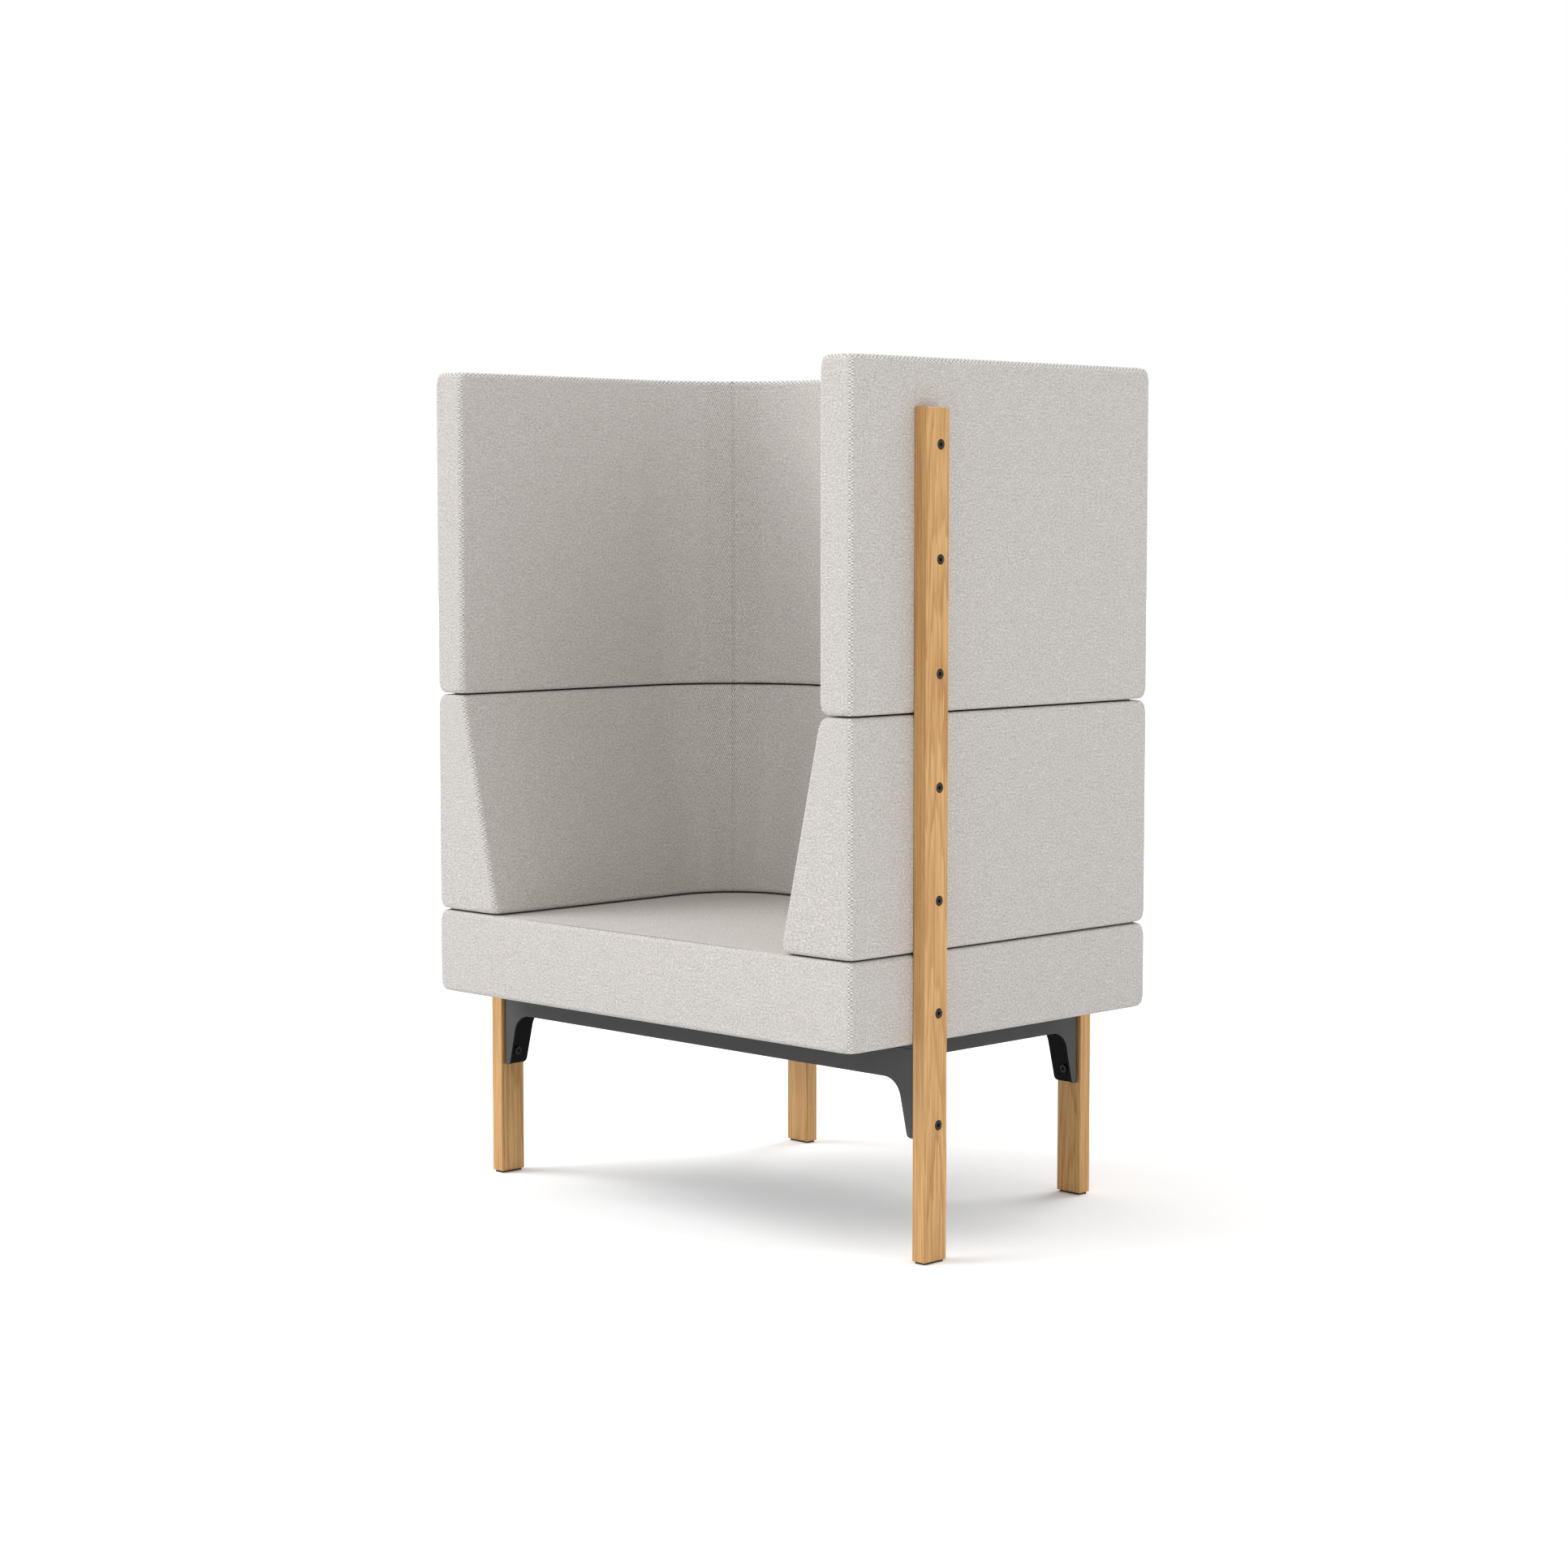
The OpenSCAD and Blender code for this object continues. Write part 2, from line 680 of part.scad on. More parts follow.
// A head that bears on the XY plane from below, with a hexagon socket in its far end
module socket_head(d) {
    difference() {
        rotate_extrude() polygon([[0, 0], [d / 2 - head_h / 4, 0], [d / 2, head_h / 2], [d / 2, head_h], [0, head_h]]);
        translate([0, 0, -cut]) cylinder(d = socket_d, h = socket_depth + cut, $fn = 6);
    }
}

// A bolt along +Z whose head bears at Z = 0
module bolt(length) {
    cylinder(r = bolt_r, h = length);
    translate([0, 0, -head_h]) socket_head(head_d);
}

// The bolts of one post, drawn with the post's inner face on Z = 0 and its height along X
module post_bolts() {
    for (z = bolt_heights)
        translate([z, 0, bearing + post_gap]) mirror([0, 0, 1])
            bolt(z == bolt_z ? frame_bolt_l : board_bolt_l);
}

// Turns a piece drawn with its height along X and its outward side along +Z onto the right side
module on_side() {
    translate([body_w / 2, bolt_y, 0]) rotate([0, -90, 180]) children();
}

module on_back() {
    translate([bolt_x, body_d, 0]) rotate([0, -90, -90]) children();
}

module front_right_bolts() {
    color(black) placed() on_side() post_bolts();
}

module front_left_bolts() {
    color(black) placed() mirror([1, 0, 0]) on_side() post_bolts();
}

module rear_right_bolts() {
    color(black) placed() on_back() post_bolts();
}

module rear_left_bolts() {
    color(black) placed() mirror([1, 0, 0]) on_back() post_bolts();
}

// Rounded section of a post, drawn in by inset
module post_section(inset) {
    w = post_w - 2 * inset;
    t = post_t - 2 * inset;
    r = post_edge_r;
    translate([inset + r, inset]) square([w - 2 * r, t]);
    translate([inset, inset + r]) square([w, t - 2 * r]);
    for (x = [inset + r, post_w - inset - r], y = [inset + r, post_t - inset - r]) translate([x, y]) circle(r = r);
}

// Side view of a post with chamfered ends, across this width
module chamfered(width) {
    h = post_top - glide_h;
    c = post_chamfer;
    translate([0, glide_h]) polygon([[c, 0], [width - c, 0], [width, c], [width, h - c], [width - c, h],
        [c, h], [0, h - c], [0, c]]);
}

// A post standing on its glide: X along its width, Y out from the block, with its bolt holes
module post(holes_x) {
    difference() {
        intersection() {
            linear_extrude(post_top) post_section(0);
            translate([0, post_t, 0]) rotate([90, 0, 0]) linear_extrude(post_t) chamfered(post_w);
            rotate([90, 0, 90]) linear_extrude(post_w) chamfered(post_t);
        }
        for (z = bolt_heights) translate([holes_x, 0, z]) rotate([-90, 0, 0]) {
            translate([0, 0, -cut]) cylinder(r = bolt_r + hole_gap, h = post_t + 2 * cut);
            translate([0, 0, bearing]) cylinder(r = counterbore_r, h = counterbore_depth + cut);
        }
        translate([holes_x, 0, bolt_z]) rotate([-90, 0, 0]) translate([0, 0, -cut])
            cylinder(d = sleeve_d + 2 * hole_gap, h = sleeve_l + cut + hole_gap);
        translate([post_w / 2, post_t / 2, 0]) cylinder(d = glide_nail_d + hole_gap, h = glide_h + glide_nail_l + hole_gap);
    }
}

// The right-hand front post, whose width runs back from post_inset
module front_post() {
    translate([post_x, post_inset + post_w, 0]) rotate([0, 0, -90]) post(post_w - bolt_inset);
}

// The right-hand rear post, whose width runs in from post_inset
module rear_post() {
    translate([body_w / 2 - post_inset - post_w, post_y, 0]) post(post_w - bolt_inset);
}

module front_left_post() {
    color(oak) placed() mirror([1, 0, 0]) front_post();
}

module front_right_post() {
    color(oak) placed() front_post();
}

module rear_left_post() {
    color(oak) placed() mirror([1, 0, 0]) rear_post();
}

module rear_right_post() {
    color(oak) placed() rear_post();
}

// A sleeve nut inside a bolted tab: its head bears on the tab and its sleeve reaches into the post
module sleeve_nut() {
    difference() {
        union() {
            translate([0, 0, -sheet_t - head_h]) socket_head(head_d);
            translate([0, 0, -sheet_t]) cylinder(d = sleeve_d, h = sheet_t + sleeve_l);
        }
        translate([0, 0, -sheet_t]) cylinder(r = bolt_r + hole_gap / 2, h = sheet_t + sleeve_l + cut);
    }
}

module frame_nuts() {
    color(black) placed() mirrored() {
        on_side() translate([bolt_z, 0, 0]) sleeve_nut();
        on_back() translate([bolt_z, 0, 0]) sleeve_nut();
    }
}

module seat_inserts() {
    inserts(seat_bolts);
}

module lower_inserts() {
    inserts(lower_bolts);
}

module upper_inserts() {
    inserts(upper_bolts);
}

// A plastic glide under a post: X along the width of the post, Y out from the block
module glide() {
    linear_extrude(glide_h) post_section(glide_inset);
    translate([post_w / 2, post_t / 2, 0]) cylinder(d = glide_nail_d, h = glide_h + glide_nail_l);
}

module front_glide() {
    translate([post_x, post_inset + post_w, 0]) rotate([0, 0, -90]) glide();
}

module rear_glide() {
    translate([body_w / 2 - post_inset - post_w, post_y, 0]) glide();
}

module front_left_glide() {
    color(black) placed() mirror([1, 0, 0]) front_glide();
}

module front_right_glide() {
    color(black) placed() front_glide();
}

module rear_left_glide() {
    color(black) placed() mirror([1, 0, 0]) rear_glide();
}

module rear_right_glide() {
    color(black) placed() rear_glide();
}

seat_cover();
seat_foam();
seat_webbing();
seat_left_board();
seat_right_board();
seat_front_board();
seat_back_board();
seat_front_batten();
seat_rear_batten();
seat_dust_cover();
lower_cover();
lower_foam();
lower_left_board();
lower_right_board();
lower_back_board();
lower_spacer();
upper_cover();
upper_foam();
upper_left_board();
upper_right_board();
upper_back_board();
upper_spacer();
front_rail();
left_rail();
right_rail();
rear_rail();
seat_spacers();
seat_screws();
front_left_post();
front_right_post();
rear_left_post();
rear_right_post();
front_left_bolts();
front_right_bolts();
rear_left_bolts();
rear_right_bolts();
frame_nuts();
seat_inserts();
lower_inserts();
upper_inserts();
front_left_glide();
front_right_glide();
rear_left_glide();
rear_right_glide();
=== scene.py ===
"""Looks for the acoustic high back lounge chair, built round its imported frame.

The covers of the three upholstered blocks are made here as tight, slightly puffed cloth with seams.
Every other piece is the frame's own, dressed in oak, powder-coated steel and black hardware.
"""

import json
import logging
import math
from dataclasses import dataclass, field
from enum import Enum

import bmesh
import bpy
import numpy as np
from mathutils import Euler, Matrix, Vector

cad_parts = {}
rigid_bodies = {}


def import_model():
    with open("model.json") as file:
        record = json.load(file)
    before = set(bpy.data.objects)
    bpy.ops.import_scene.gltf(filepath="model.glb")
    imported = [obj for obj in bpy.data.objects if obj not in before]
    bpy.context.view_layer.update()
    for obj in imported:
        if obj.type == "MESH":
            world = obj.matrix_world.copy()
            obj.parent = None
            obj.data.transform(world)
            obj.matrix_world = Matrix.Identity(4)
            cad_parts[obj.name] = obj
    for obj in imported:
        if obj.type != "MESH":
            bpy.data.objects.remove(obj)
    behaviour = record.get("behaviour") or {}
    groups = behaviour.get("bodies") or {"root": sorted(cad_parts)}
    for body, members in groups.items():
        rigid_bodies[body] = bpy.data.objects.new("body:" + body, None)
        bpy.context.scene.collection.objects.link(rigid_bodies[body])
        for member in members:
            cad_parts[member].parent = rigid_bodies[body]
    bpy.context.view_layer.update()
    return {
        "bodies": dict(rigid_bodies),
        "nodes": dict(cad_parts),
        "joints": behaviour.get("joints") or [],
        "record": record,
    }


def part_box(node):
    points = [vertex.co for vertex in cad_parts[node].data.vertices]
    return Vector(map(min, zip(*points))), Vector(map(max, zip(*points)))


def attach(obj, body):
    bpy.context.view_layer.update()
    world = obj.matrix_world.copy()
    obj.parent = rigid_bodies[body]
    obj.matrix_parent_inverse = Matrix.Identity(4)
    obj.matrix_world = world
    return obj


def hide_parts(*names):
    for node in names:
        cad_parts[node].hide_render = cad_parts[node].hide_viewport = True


log = logging.getLogger("lounge_chair")
Socket = bpy.types.NodeSocket
Material = bpy.types.Material
# One millimetre in metres, the width in which the edges' beads repeat, and a distance that stands for
# none, both in mm.
MM = 0.001
EDGE_MM = 7.8
FAR_MM = 999.0


def srgb(red: float, green: float, blue: float) -> tuple[float, float, float, float]:
    """Linear colour of a screen colour.

    Args:
        red, green, blue: screen values from 0 to 255.

    Returns:
        Linear red, green and blue, with an alpha of 1.
    """
    channels = [c / 255 for c in (red, green, blue)]
    linear = [c / 12.92 if c <= 0.04045 else ((c + 0.055) / 1.055) ** 2.4 for c in channels]
    return (*linear, 1.0)


@dataclass(frozen=True)
class Cells:
    """Cloud noise: cells to the unit along each axis, a shift, and how fine and uneven it is."""

    scale: tuple
    shift: tuple = (0, 0, 0)
    detail: float = 2.0
    roughness: float = 0.5
    warp: float = 0.0


class Graph:
    """A new material's node tree, with short calls that add nodes and join them."""

    def __init__(self, name: str) -> None:
        """Starts the material with a Principled shader joined to its output.

        Args:
            name: the material's name.
        """
        self.material = bpy.data.materials.new(name)
        self.material.use_nodes = True
        self.tree = self.material.node_tree
        self.tree.nodes.clear()
        self.output = self.node("OutputMaterial")
        self.shader = self.node("BsdfPrincipled")
        self.join(self.shader.outputs[0], self.output.inputs["Surface"])

    def node(self, kind: str) -> bpy.types.ShaderNode:
        """Adds a shader node of this kind."""
        return self.tree.nodes.new("ShaderNode" + kind)

    def join(self, source: Socket, target: Socket) -> None:
        """Links an output socket to an input socket."""
        self.tree.links.new(source, target)

    def feed(self, socket: Socket, value: object) -> None:
        """Links a socket or sets a plain value on an input.

        Args:
            socket: the input.
            value: socket to link or value to set.
        """
        if isinstance(value, Socket):
            self.join(value, socket)
        else:
            socket.default_value = value

    def math(self, operation: str, *values: object) -> Socket:
        """One step of arithmetic.

        Args:
            operation: Blender's name of the operation.
            values: sockets or numbers.

        Returns:
            The result's socket.
        """
        node = self.node("Math")
        node.operation = operation
        for socket, value in zip(node.inputs, values):
            self.feed(socket, value)
        return node.outputs[0]

    def add(self, total: object, *parts: tuple, middle: float = 0.0) -> Socket:
        """Adds up total + share x (part - middle) over the parts.

        Args:
            total: socket or number to start from.
            parts: pairs of a socket and its share.
            middle: the parts' middle value, at which they add nothing.

        Returns:
            The sum's socket.
        """
        for part, share in parts:
            total = self.math("ADD", total, self.math("MULTIPLY_ADD", part, share, -share * middle))
        return total

    def wave(self, value: object, period: float, operation: str = "SINE") -> Socket:
        """Sine or cosine of 2 pi value / period."""
        return self.math(operation, self.math("MULTIPLY", value, 2 * math.pi / period))

    def ramp(self, value: object, low: float, high: float, to_low: float = 0.0,
             to_high: float = 1.0) -> Socket:
        """Value eased from one range to another, and held at its ends.

        Args:
            value: socket or number.
            low, high: the range that it comes from.
            to_low, to_high: the range that it is carried to.

        Returns:
            The result's socket.
        """
        node = self.node("MapRange")
        node.interpolation_type = "SMOOTHSTEP"
        limits = (("From Min", low), ("From Max", high), ("To Min", to_low), ("To Max", to_high))
        for name, number in limits:
            node.inputs[name].default_value = number
        self.feed(node.inputs["Value"], value)
        return node.outputs[0]

    def place(self, source: Socket, scale: tuple[float, float, float],
              shift: tuple[float, float, float] = (0, 0, 0)) -> Socket:
        """Coordinates stretched and moved for a pattern.

        Args:
            source: the coordinates.
            scale: stretch along each axis.
            shift: how far they are then moved.

        Returns:
            The new coordinates' socket.
        """
        node = self.node("Mapping")
        self.feed(node.inputs["Vector"], source)
        node.inputs["Scale"].default_value = scale
        node.inputs["Location"].default_value = shift
        return node.outputs[0]

    def noise(self, source: Socket, cells: Cells) -> Socket:
        """Cloud noise from 0 to 1 over these coordinates.

        Args:
            source: the coordinates.
            cells: the noise's scale and look.

        Returns:
            The noise's socket.
        """
        node = self.node("TexNoise")
        self.join(self.place(source, cells.scale, cells.shift), node.inputs["Vector"])
        settings = (("Scale", 1.0), ("Detail", cells.detail), ("Roughness", cells.roughness),
                    ("Distortion", cells.warp))
        for name, number in settings:
            node.inputs[name].default_value = number
        return node.outputs["Fac"]

    def split(self, vector: Socket) -> tuple[Socket, ...]:
        """The three parts of a vector.

        Args:
            vector: the vector's socket.

        Returns:
            A socket for each part.
        """
        node = self.node("SeparateXYZ")
        self.join(vector, node.inputs[0])
        return tuple(node.outputs)

    def blend(self, factor: object, first: object, second: object, mode: str = "MIX") -> Socket:
        """Two colours mixed by a factor, through the colour sockets of a Mix node.

        Args:
            factor: how much of the second shows.
            first, second: the colours.
            mode: Blender's name of the way to mix.

        Returns:
            The mixed colour's socket.
        """
        node = self.node("Mix")
        node.data_type, node.blend_type = "RGBA", mode
        for place, value in ((0, factor), (6, first), (7, second)):
            self.feed(node.inputs[place], value)
        return node.outputs[2]

    def stain(self, colour: object, *layers: tuple) -> Socket:
        """A colour with others laid over it in turn.

        Args:
            colour: the colour to start from.
            layers: pairs of a strength and a colour.

        Returns:
            The last colour's socket.
        """
        for strength, over in layers:
            colour = self.blend(strength, colour, over)
        return colour

    def grey(self, value: Socket) -> Socket:
        """A grey with this value in all three channels.

        Args:
            value: the value's socket.

        Returns:
            The colour's socket.
        """
        node = self.node("CombineColor")
        for socket in node.inputs:
            self.join(value, socket)
        return node.outputs[0]

    def attribute(self, name: str) -> Socket:
        """A number stored on the mesh.

        Args:
            name: the attribute's name.

        Returns:
            The number's socket.
        """
        node = self.node("Attribute")
        node.attribute_name = name
        return node.outputs["Fac"]

    def uv(self, name: str) -> Socket:
        """A UV map's coordinates.

        Args:
            name: the map's name.

        Returns:
            The coordinates' socket.
        """
        node = self.node("UVMap")
        node.uv_map = name
        return node.outputs[0]

    def object_point(self) -> Socket:
        """Coordinates on the piece, in metres."""
        return self.node("TexCoord").outputs["Object"]

    def object_normal(self) -> Socket:
        """The face's normal on the piece."""
        return self.node("TexCoord").outputs["Normal"]

    def bump(self, height: Socket, depth: float, under: object = None) -> Socket:
        """A surface that rises with height.

        Args:
            height: socket from 0 to 1.
            depth: how far 1 rises, in metres.
            under: normal of a coarser bump below this one.

        Returns:
            The normal's socket.
        """
        node = self.node("Bump")
        node.inputs["Distance"].default_value = depth
        self.join(height, node.inputs["Height"])
        if under is not None:
            self.join(under, node.inputs["Normal"])
        return node.outputs[0]

    def finish(self, colour: object, roughness: object, normal: object = None,
               **plain: float) -> Material:
        """Feeds the shader.

        Args:
            colour: base colour, a socket or four numbers.
            roughness: socket or number.
            normal: normal socket, if there is one.
            plain: other inputs by name, with underscores for spaces.

        Returns:
            The finished material.
        """
        self.feed(self.shader.inputs["Base Color"], colour)
        self.feed(self.shader.inputs["Roughness"], roughness)
        if normal is not None:
            self.join(normal, self.shader.inputs["Normal"])
        for name, value in plain.items():
            self.shader.inputs[name.replace("_", " ")].default_value = value
        return self.material


@dataclass(frozen=True)
class MelangeWool:
    """Light warm-grey woven wool, whose herringbone weave opens and shows where the cloth turns, with a
    painted highlight there.

    Patterns are laid out in mm along the cloth. A tone is what a pattern adds to the cloth's
    brightness, and a rise is its share of weave_depth. A ramp holds the range that is eased and what
    it is eased to.
    """

    cloth: tuple = srgb(203, 199, 195)
    brown_fleck: tuple = srgb(152, 130, 108)
    grey_fleck: tuple = srgb(158, 156, 153)
    # Near black of ring undersides: partly their dust cloth, partly painted shade for the gap below.
    painted_shade_black: tuple = srgb(20, 20, 20)
    grain: Cells = Cells((0.8, 0.5, 1), (31, 7, 3), 2.0, 0.7)
    yarn: Cells = Cells((0.29, 0.36, 1), (17, 29, 3), 1.0, 0.6)
    streak: Cells = Cells((0.05, 0.40, 1), (0, 0, 0), 2.0, 0.6)
    cloud: Cells = Cells((0.03, 0.05, 1), (5, 2, 9), 2.0, 0.7)
    brown: Cells = Cells((0.42, 0.55, 1), (11, 43, 1), 1.0)
    grey: Cells = Cells((0.36, 0.70, 1), (61, 13, 5), 1.0)
    slack: Cells = Cells((0.009, 0.013, 1), (3, 8, 4), 1.5)
    brown_ramp: tuple = (0.60, 0.70, 0.0, 0.65)
    grey_ramp: tuple = (0.62, 0.71, 0.0, 0.40)
    groove_ramp: tuple = (1.6, 3.2, 1.0, 0.0)
    stitch_ramp: tuple = (-0.3, 0.6, 0.1, 1.0)
    base_tone: float = 0.55
    grain_tone: float = 0.9
    yarn_tone: float = 0.82
    streak_tone: float = 0.30
    cloud_tone: float = 0.12
    weave_tone: float = 0.46
    # Painted highlight: turned edges are made lighter, besides their opened weave.
    turn_highlight_tone: float = 0.11
    # Painted shade: the seam groove is made darker, besides its bump.
    groove_shade_tone: float = -0.28
    grain_rise: float = 0.12
    weave_rise: float = 0.30
    streak_rise: float = 0.10
    groove_rise: float = -0.7
    weave_depth: float = 0.6 * MM
    slack_depth: float = 0.5 * MM
    herring_mm: float = 3.0
    repeat_mm: float = 8.6
    lean: float = 2.4
    bead: float = 0.9
    bead_slope: float = 0.4
    bead_pairing: float = 0.7
    roughness: float = 0.95

    def material(self) -> Material:
        """Grain, yarns, streaks and flecks in the colour, with a painted highlight on turned edges,
        painted shade in the seam groove and near black on ring undersides; weave, slack and seam groove
        in the bump.

        Returns:
            The finished material.
        """
        g = Graph("melange_wool")
        mm = g.place(g.uv("cloth"), (1 / MM, 1 / MM, 1 / MM))
        turn = g.attribute("turn")
        patterns = (self.grain, self.yarn, self.streak, self.cloud, self.brown, self.grey)
        grain, yarn, streak, cloud, brown, grey = [g.noise(mm, cells) for cells in patterns]
        weave = self.herringbone(g, mm, turn)
        # The seam groove's dimples dip in the bump and carry painted shade in the colour.
        groove = g.math("MULTIPLY", g.ramp(g.attribute("seam"), *self.groove_ramp),
                        self.round_stitches(g, mm))
        tone = g.math("MULTIPLY_ADD", grain, self.grain_tone, self.base_tone)
        tone = g.add(tone, (yarn, self.yarn_tone), (streak, self.streak_tone),
                     (cloud, self.cloud_tone), middle=0.5)
        # Turned edges get a painted highlight here, and the seam groove painted shade.
        tone = g.add(tone, (weave, self.weave_tone), (turn, self.turn_highlight_tone), (groove, self.groove_shade_tone))
        # The flecks go over the tone, then the near black of ring undersides: dust cloth and painted
        # shade.
        colour = g.stain(g.blend(1.0, self.cloth, g.grey(tone), "MULTIPLY"),
                         (g.ramp(brown, *self.brown_ramp), self.brown_fleck),
                         (g.ramp(grey, *self.grey_ramp), self.grey_fleck),
                         (g.attribute("lined"), self.painted_shade_black))
        height = g.add(0.0, (grain, self.grain_rise), (weave, self.weave_rise),
                       (streak, self.streak_rise), (groove, self.groove_rise))
        slack = g.bump(g.noise(mm, self.slack), self.slack_depth)
        return g.finish(colour, self.roughness, g.bump(height, self.weave_depth, slack),
                        Sheen_Weight=0.12, Sheen_Roughness=0.5, Specular_IOR_Level=0.18)

    def herringbone(self, g: Graph, mm: Socket, turn: Socket) -> Socket:
        """Two staggered rows of beads down each edge, and on the arcs bars that lean to and fro.

        With u = 2 pi up / repeat_mm, the edges carry sin(2 pi across / EDGE_MM) x (sin(2 u) +
        bead_pairing x sin(u)), squared off past bead_slope at the height bead, and the arcs
        sin(2 pi across / herring_mm + lean x sin(u)).

        Args:
            g: the material's graph.
            mm: distances along the cloth, in mm.
            turn: how much of the edges' pattern shows.

        Returns:
            The socket of both patterns, which swing evenly about 0.
        """
        across, up, _ = g.split(mm)
        sway = g.wave(up, self.repeat_mm)
        rows = g.math("MULTIPLY_ADD", sway, self.bead_pairing, g.wave(up, self.repeat_mm / 2))
        beads = g.ramp(g.math("MULTIPLY", g.wave(across, EDGE_MM), rows),
                       -self.bead_slope, self.bead_slope, -self.bead, self.bead)
        bars = g.math("MULTIPLY", across, 2 * math.pi / self.herring_mm)
        leaning = g.math("SINE", g.math("MULTIPLY_ADD", sway, self.lean, bars))
        return g.math("MULTIPLY_ADD", leaning, g.attribute("arc"), g.math("MULTIPLY", beads, turn))

    def round_stitches(self, g: Graph, mm: Socket) -> Socket:
        """The seam's dimples, deep round the stitches and shallow midway: cos(2 pi up / repeat_mm)."""
        return g.ramp(g.wave(g.split(mm)[1], self.repeat_mm, "COSINE"), *self.stitch_ramp)


@dataclass(frozen=True)
class PaleOak:
    """Matt-lacquered oak: its wide faces show slow arches and its narrow ones straight lines.

    A ramp holds the range that is eased and what it is eased to.
    """

    name: str
    seed: float
    pith: tuple
    seed_shares: tuple = (1.0, 0.37, 1.7)
    ring_mm: float = 3.4
    taper: float = 0.020
    light: tuple = srgb(226, 183, 123)
    middle: tuple = srgb(212, 163, 101)
    dark: tuple = srgb(165, 106, 44)
    waver: Cells = Cells((16, 16, 2.2))
    uneven: Cells = Cells((150, 150, 7), (4, 1, 6))
    strength: Cells = Cells((40, 40, 4), (1, 9, 2), 1.0)
    fibre: Cells = Cells((1100, 1100, 16), (0, 0, 0), 2.0, 0.6)
    pore: Cells = Cells((800, 800, 34), (3, 5, 1), 1.0)
    slow: Cells = Cells((26, 26, 2.5), (8, 1, 4))
    streak: Cells = Cells((240, 240, 5), (2, 6, 8), 1.5)
    waver_reach: float = 16 * MM
    uneven_reach: float = 4.4 * MM
    line_ramp: tuple = (0.0, 0.12, 0.35, 1.0)
    strength_ramp: tuple = (0.3, 0.7, 0.3825, 0.85)
    fibre_ramp: tuple = (0.42, 0.78, 0.0, 0.34)
    pore_ramp: tuple = (0.55, 0.72)
    slow_ramp: tuple = (0.3, 0.75, 0.0, 0.7)
    streak_ramp: tuple = (0.44, 0.68, 0.0, 0.40)
    ring_pores: float = 0.45
    pores: float = 0.08
    line_fall: float = 0.4
    pore_fall: float = 0.6
    pore_depth: float = 0.12 * MM
    roughness: float = 0.50
    rough_swing: float = 0.16

    def material(self) -> Material:
        """Growth rings round a tapering pith, each a dark porous line that fades to light.

        The ring number is (distance from the pith + taper x height + a slow waver) / ring_mm, and a
        line's darkness is (1 - age)^2 over a ring's age from 0 to 1, eased in by line_ramp.

        Returns:
            The finished material.
        """
        g = Graph(self.name)
        point = g.object_point()
        x, y, z = g.split(point)
        moved = g.place(point, (1, 1, 1), tuple(self.seed * share for share in self.seed_shares))
        waver, uneven = g.noise(moved, self.waver), g.noise(moved, self.uneven)
        away = [g.math("SUBTRACT", part, centre) for part, centre in zip((x, y), self.pith)]
        reach = g.math("SQRT", g.math("ADD", *[g.math("MULTIPLY", part, part) for part in away]))
        reach = g.add(reach, (waver, self.waver_reach), (uneven, self.uneven_reach), middle=0.5)
        reach = g.add(reach, (z, self.taper))
        age = g.math("FRACT", g.math("MULTIPLY", reach, 1 / (self.ring_mm * MM)))
        line = g.math("POWER", g.math("SUBTRACT", 1.0, age), 2.0)
        line = g.math("MULTIPLY", line, g.ramp(age, *self.line_ramp))
        rings = g.math("MULTIPLY", line, g.ramp(g.noise(moved, self.strength), *self.strength_ramp))
        streak = g.ramp(g.noise(moved, self.streak), *self.streak_ramp)
        fibre = g.noise(moved, self.fibre)
        pore = g.ramp(g.noise(moved, self.pore), *self.pore_ramp)
        pores = g.math("MULTIPLY", pore, g.math("MULTIPLY_ADD", line, self.ring_pores, self.pores))
        slow = g.ramp(g.noise(moved, self.slow), *self.slow_ramp)
        layers = (rings, streak, g.ramp(fibre, *self.fibre_ramp), pores)
        colour = g.stain(self.light, (slow, self.middle), *[(layer, self.dark) for layer in layers])
        height = g.add(1.0, (line, -self.line_fall), (pore, -self.pore_fall))
        rough = g.add(self.roughness, (fibre, self.rough_swing), middle=0.5)
        return g.finish(colour, rough, g.bump(height, self.pore_depth), Specular_IOR_Level=0.4)


@dataclass(frozen=True)
class Coating:
    """A plain hard or soft finish with its own fine grain, whose depth is in metres."""

    name: str
    colour: tuple
    roughness: float
    grain_mm: float
    grain_depth: float
    mottle_share: float = 0.08
    metallic: float = 0.0
    specular: float = 0.5
    mottle: Cells = Cells((14, 14, 14), (2, 7, 5))
    rough_swing: float = 0.14

    def material(self) -> Material:
        """Grain in the bump and a slight mottle in colour and roughness.

        Returns:
            The finished material.
        """
        g = Graph(self.name)
        point = g.object_point()
        cells = 1 / (self.grain_mm * MM)
        grain = g.noise(point, Cells((cells, cells, cells), roughness=0.6))
        share = 2 * self.mottle_share
        tone = g.add(1.0, (g.noise(point, self.mottle), share), (grain, share), middle=0.5)
        colour = self.add_painted_shade(g, g.blend(1.0, self.colour, g.grey(tone), "MULTIPLY"))
        rough = g.add(self.roughness, (grain, self.rough_swing), middle=0.5)
        return g.finish(colour, rough, g.bump(grain, self.grain_depth), Metallic=self.metallic,
                        Specular_IOR_Level=self.specular)

    def add_painted_shade(self, g: Graph, colour: Socket) -> Socket:
        """The colour as it is, with no painted shade."""
        return colour


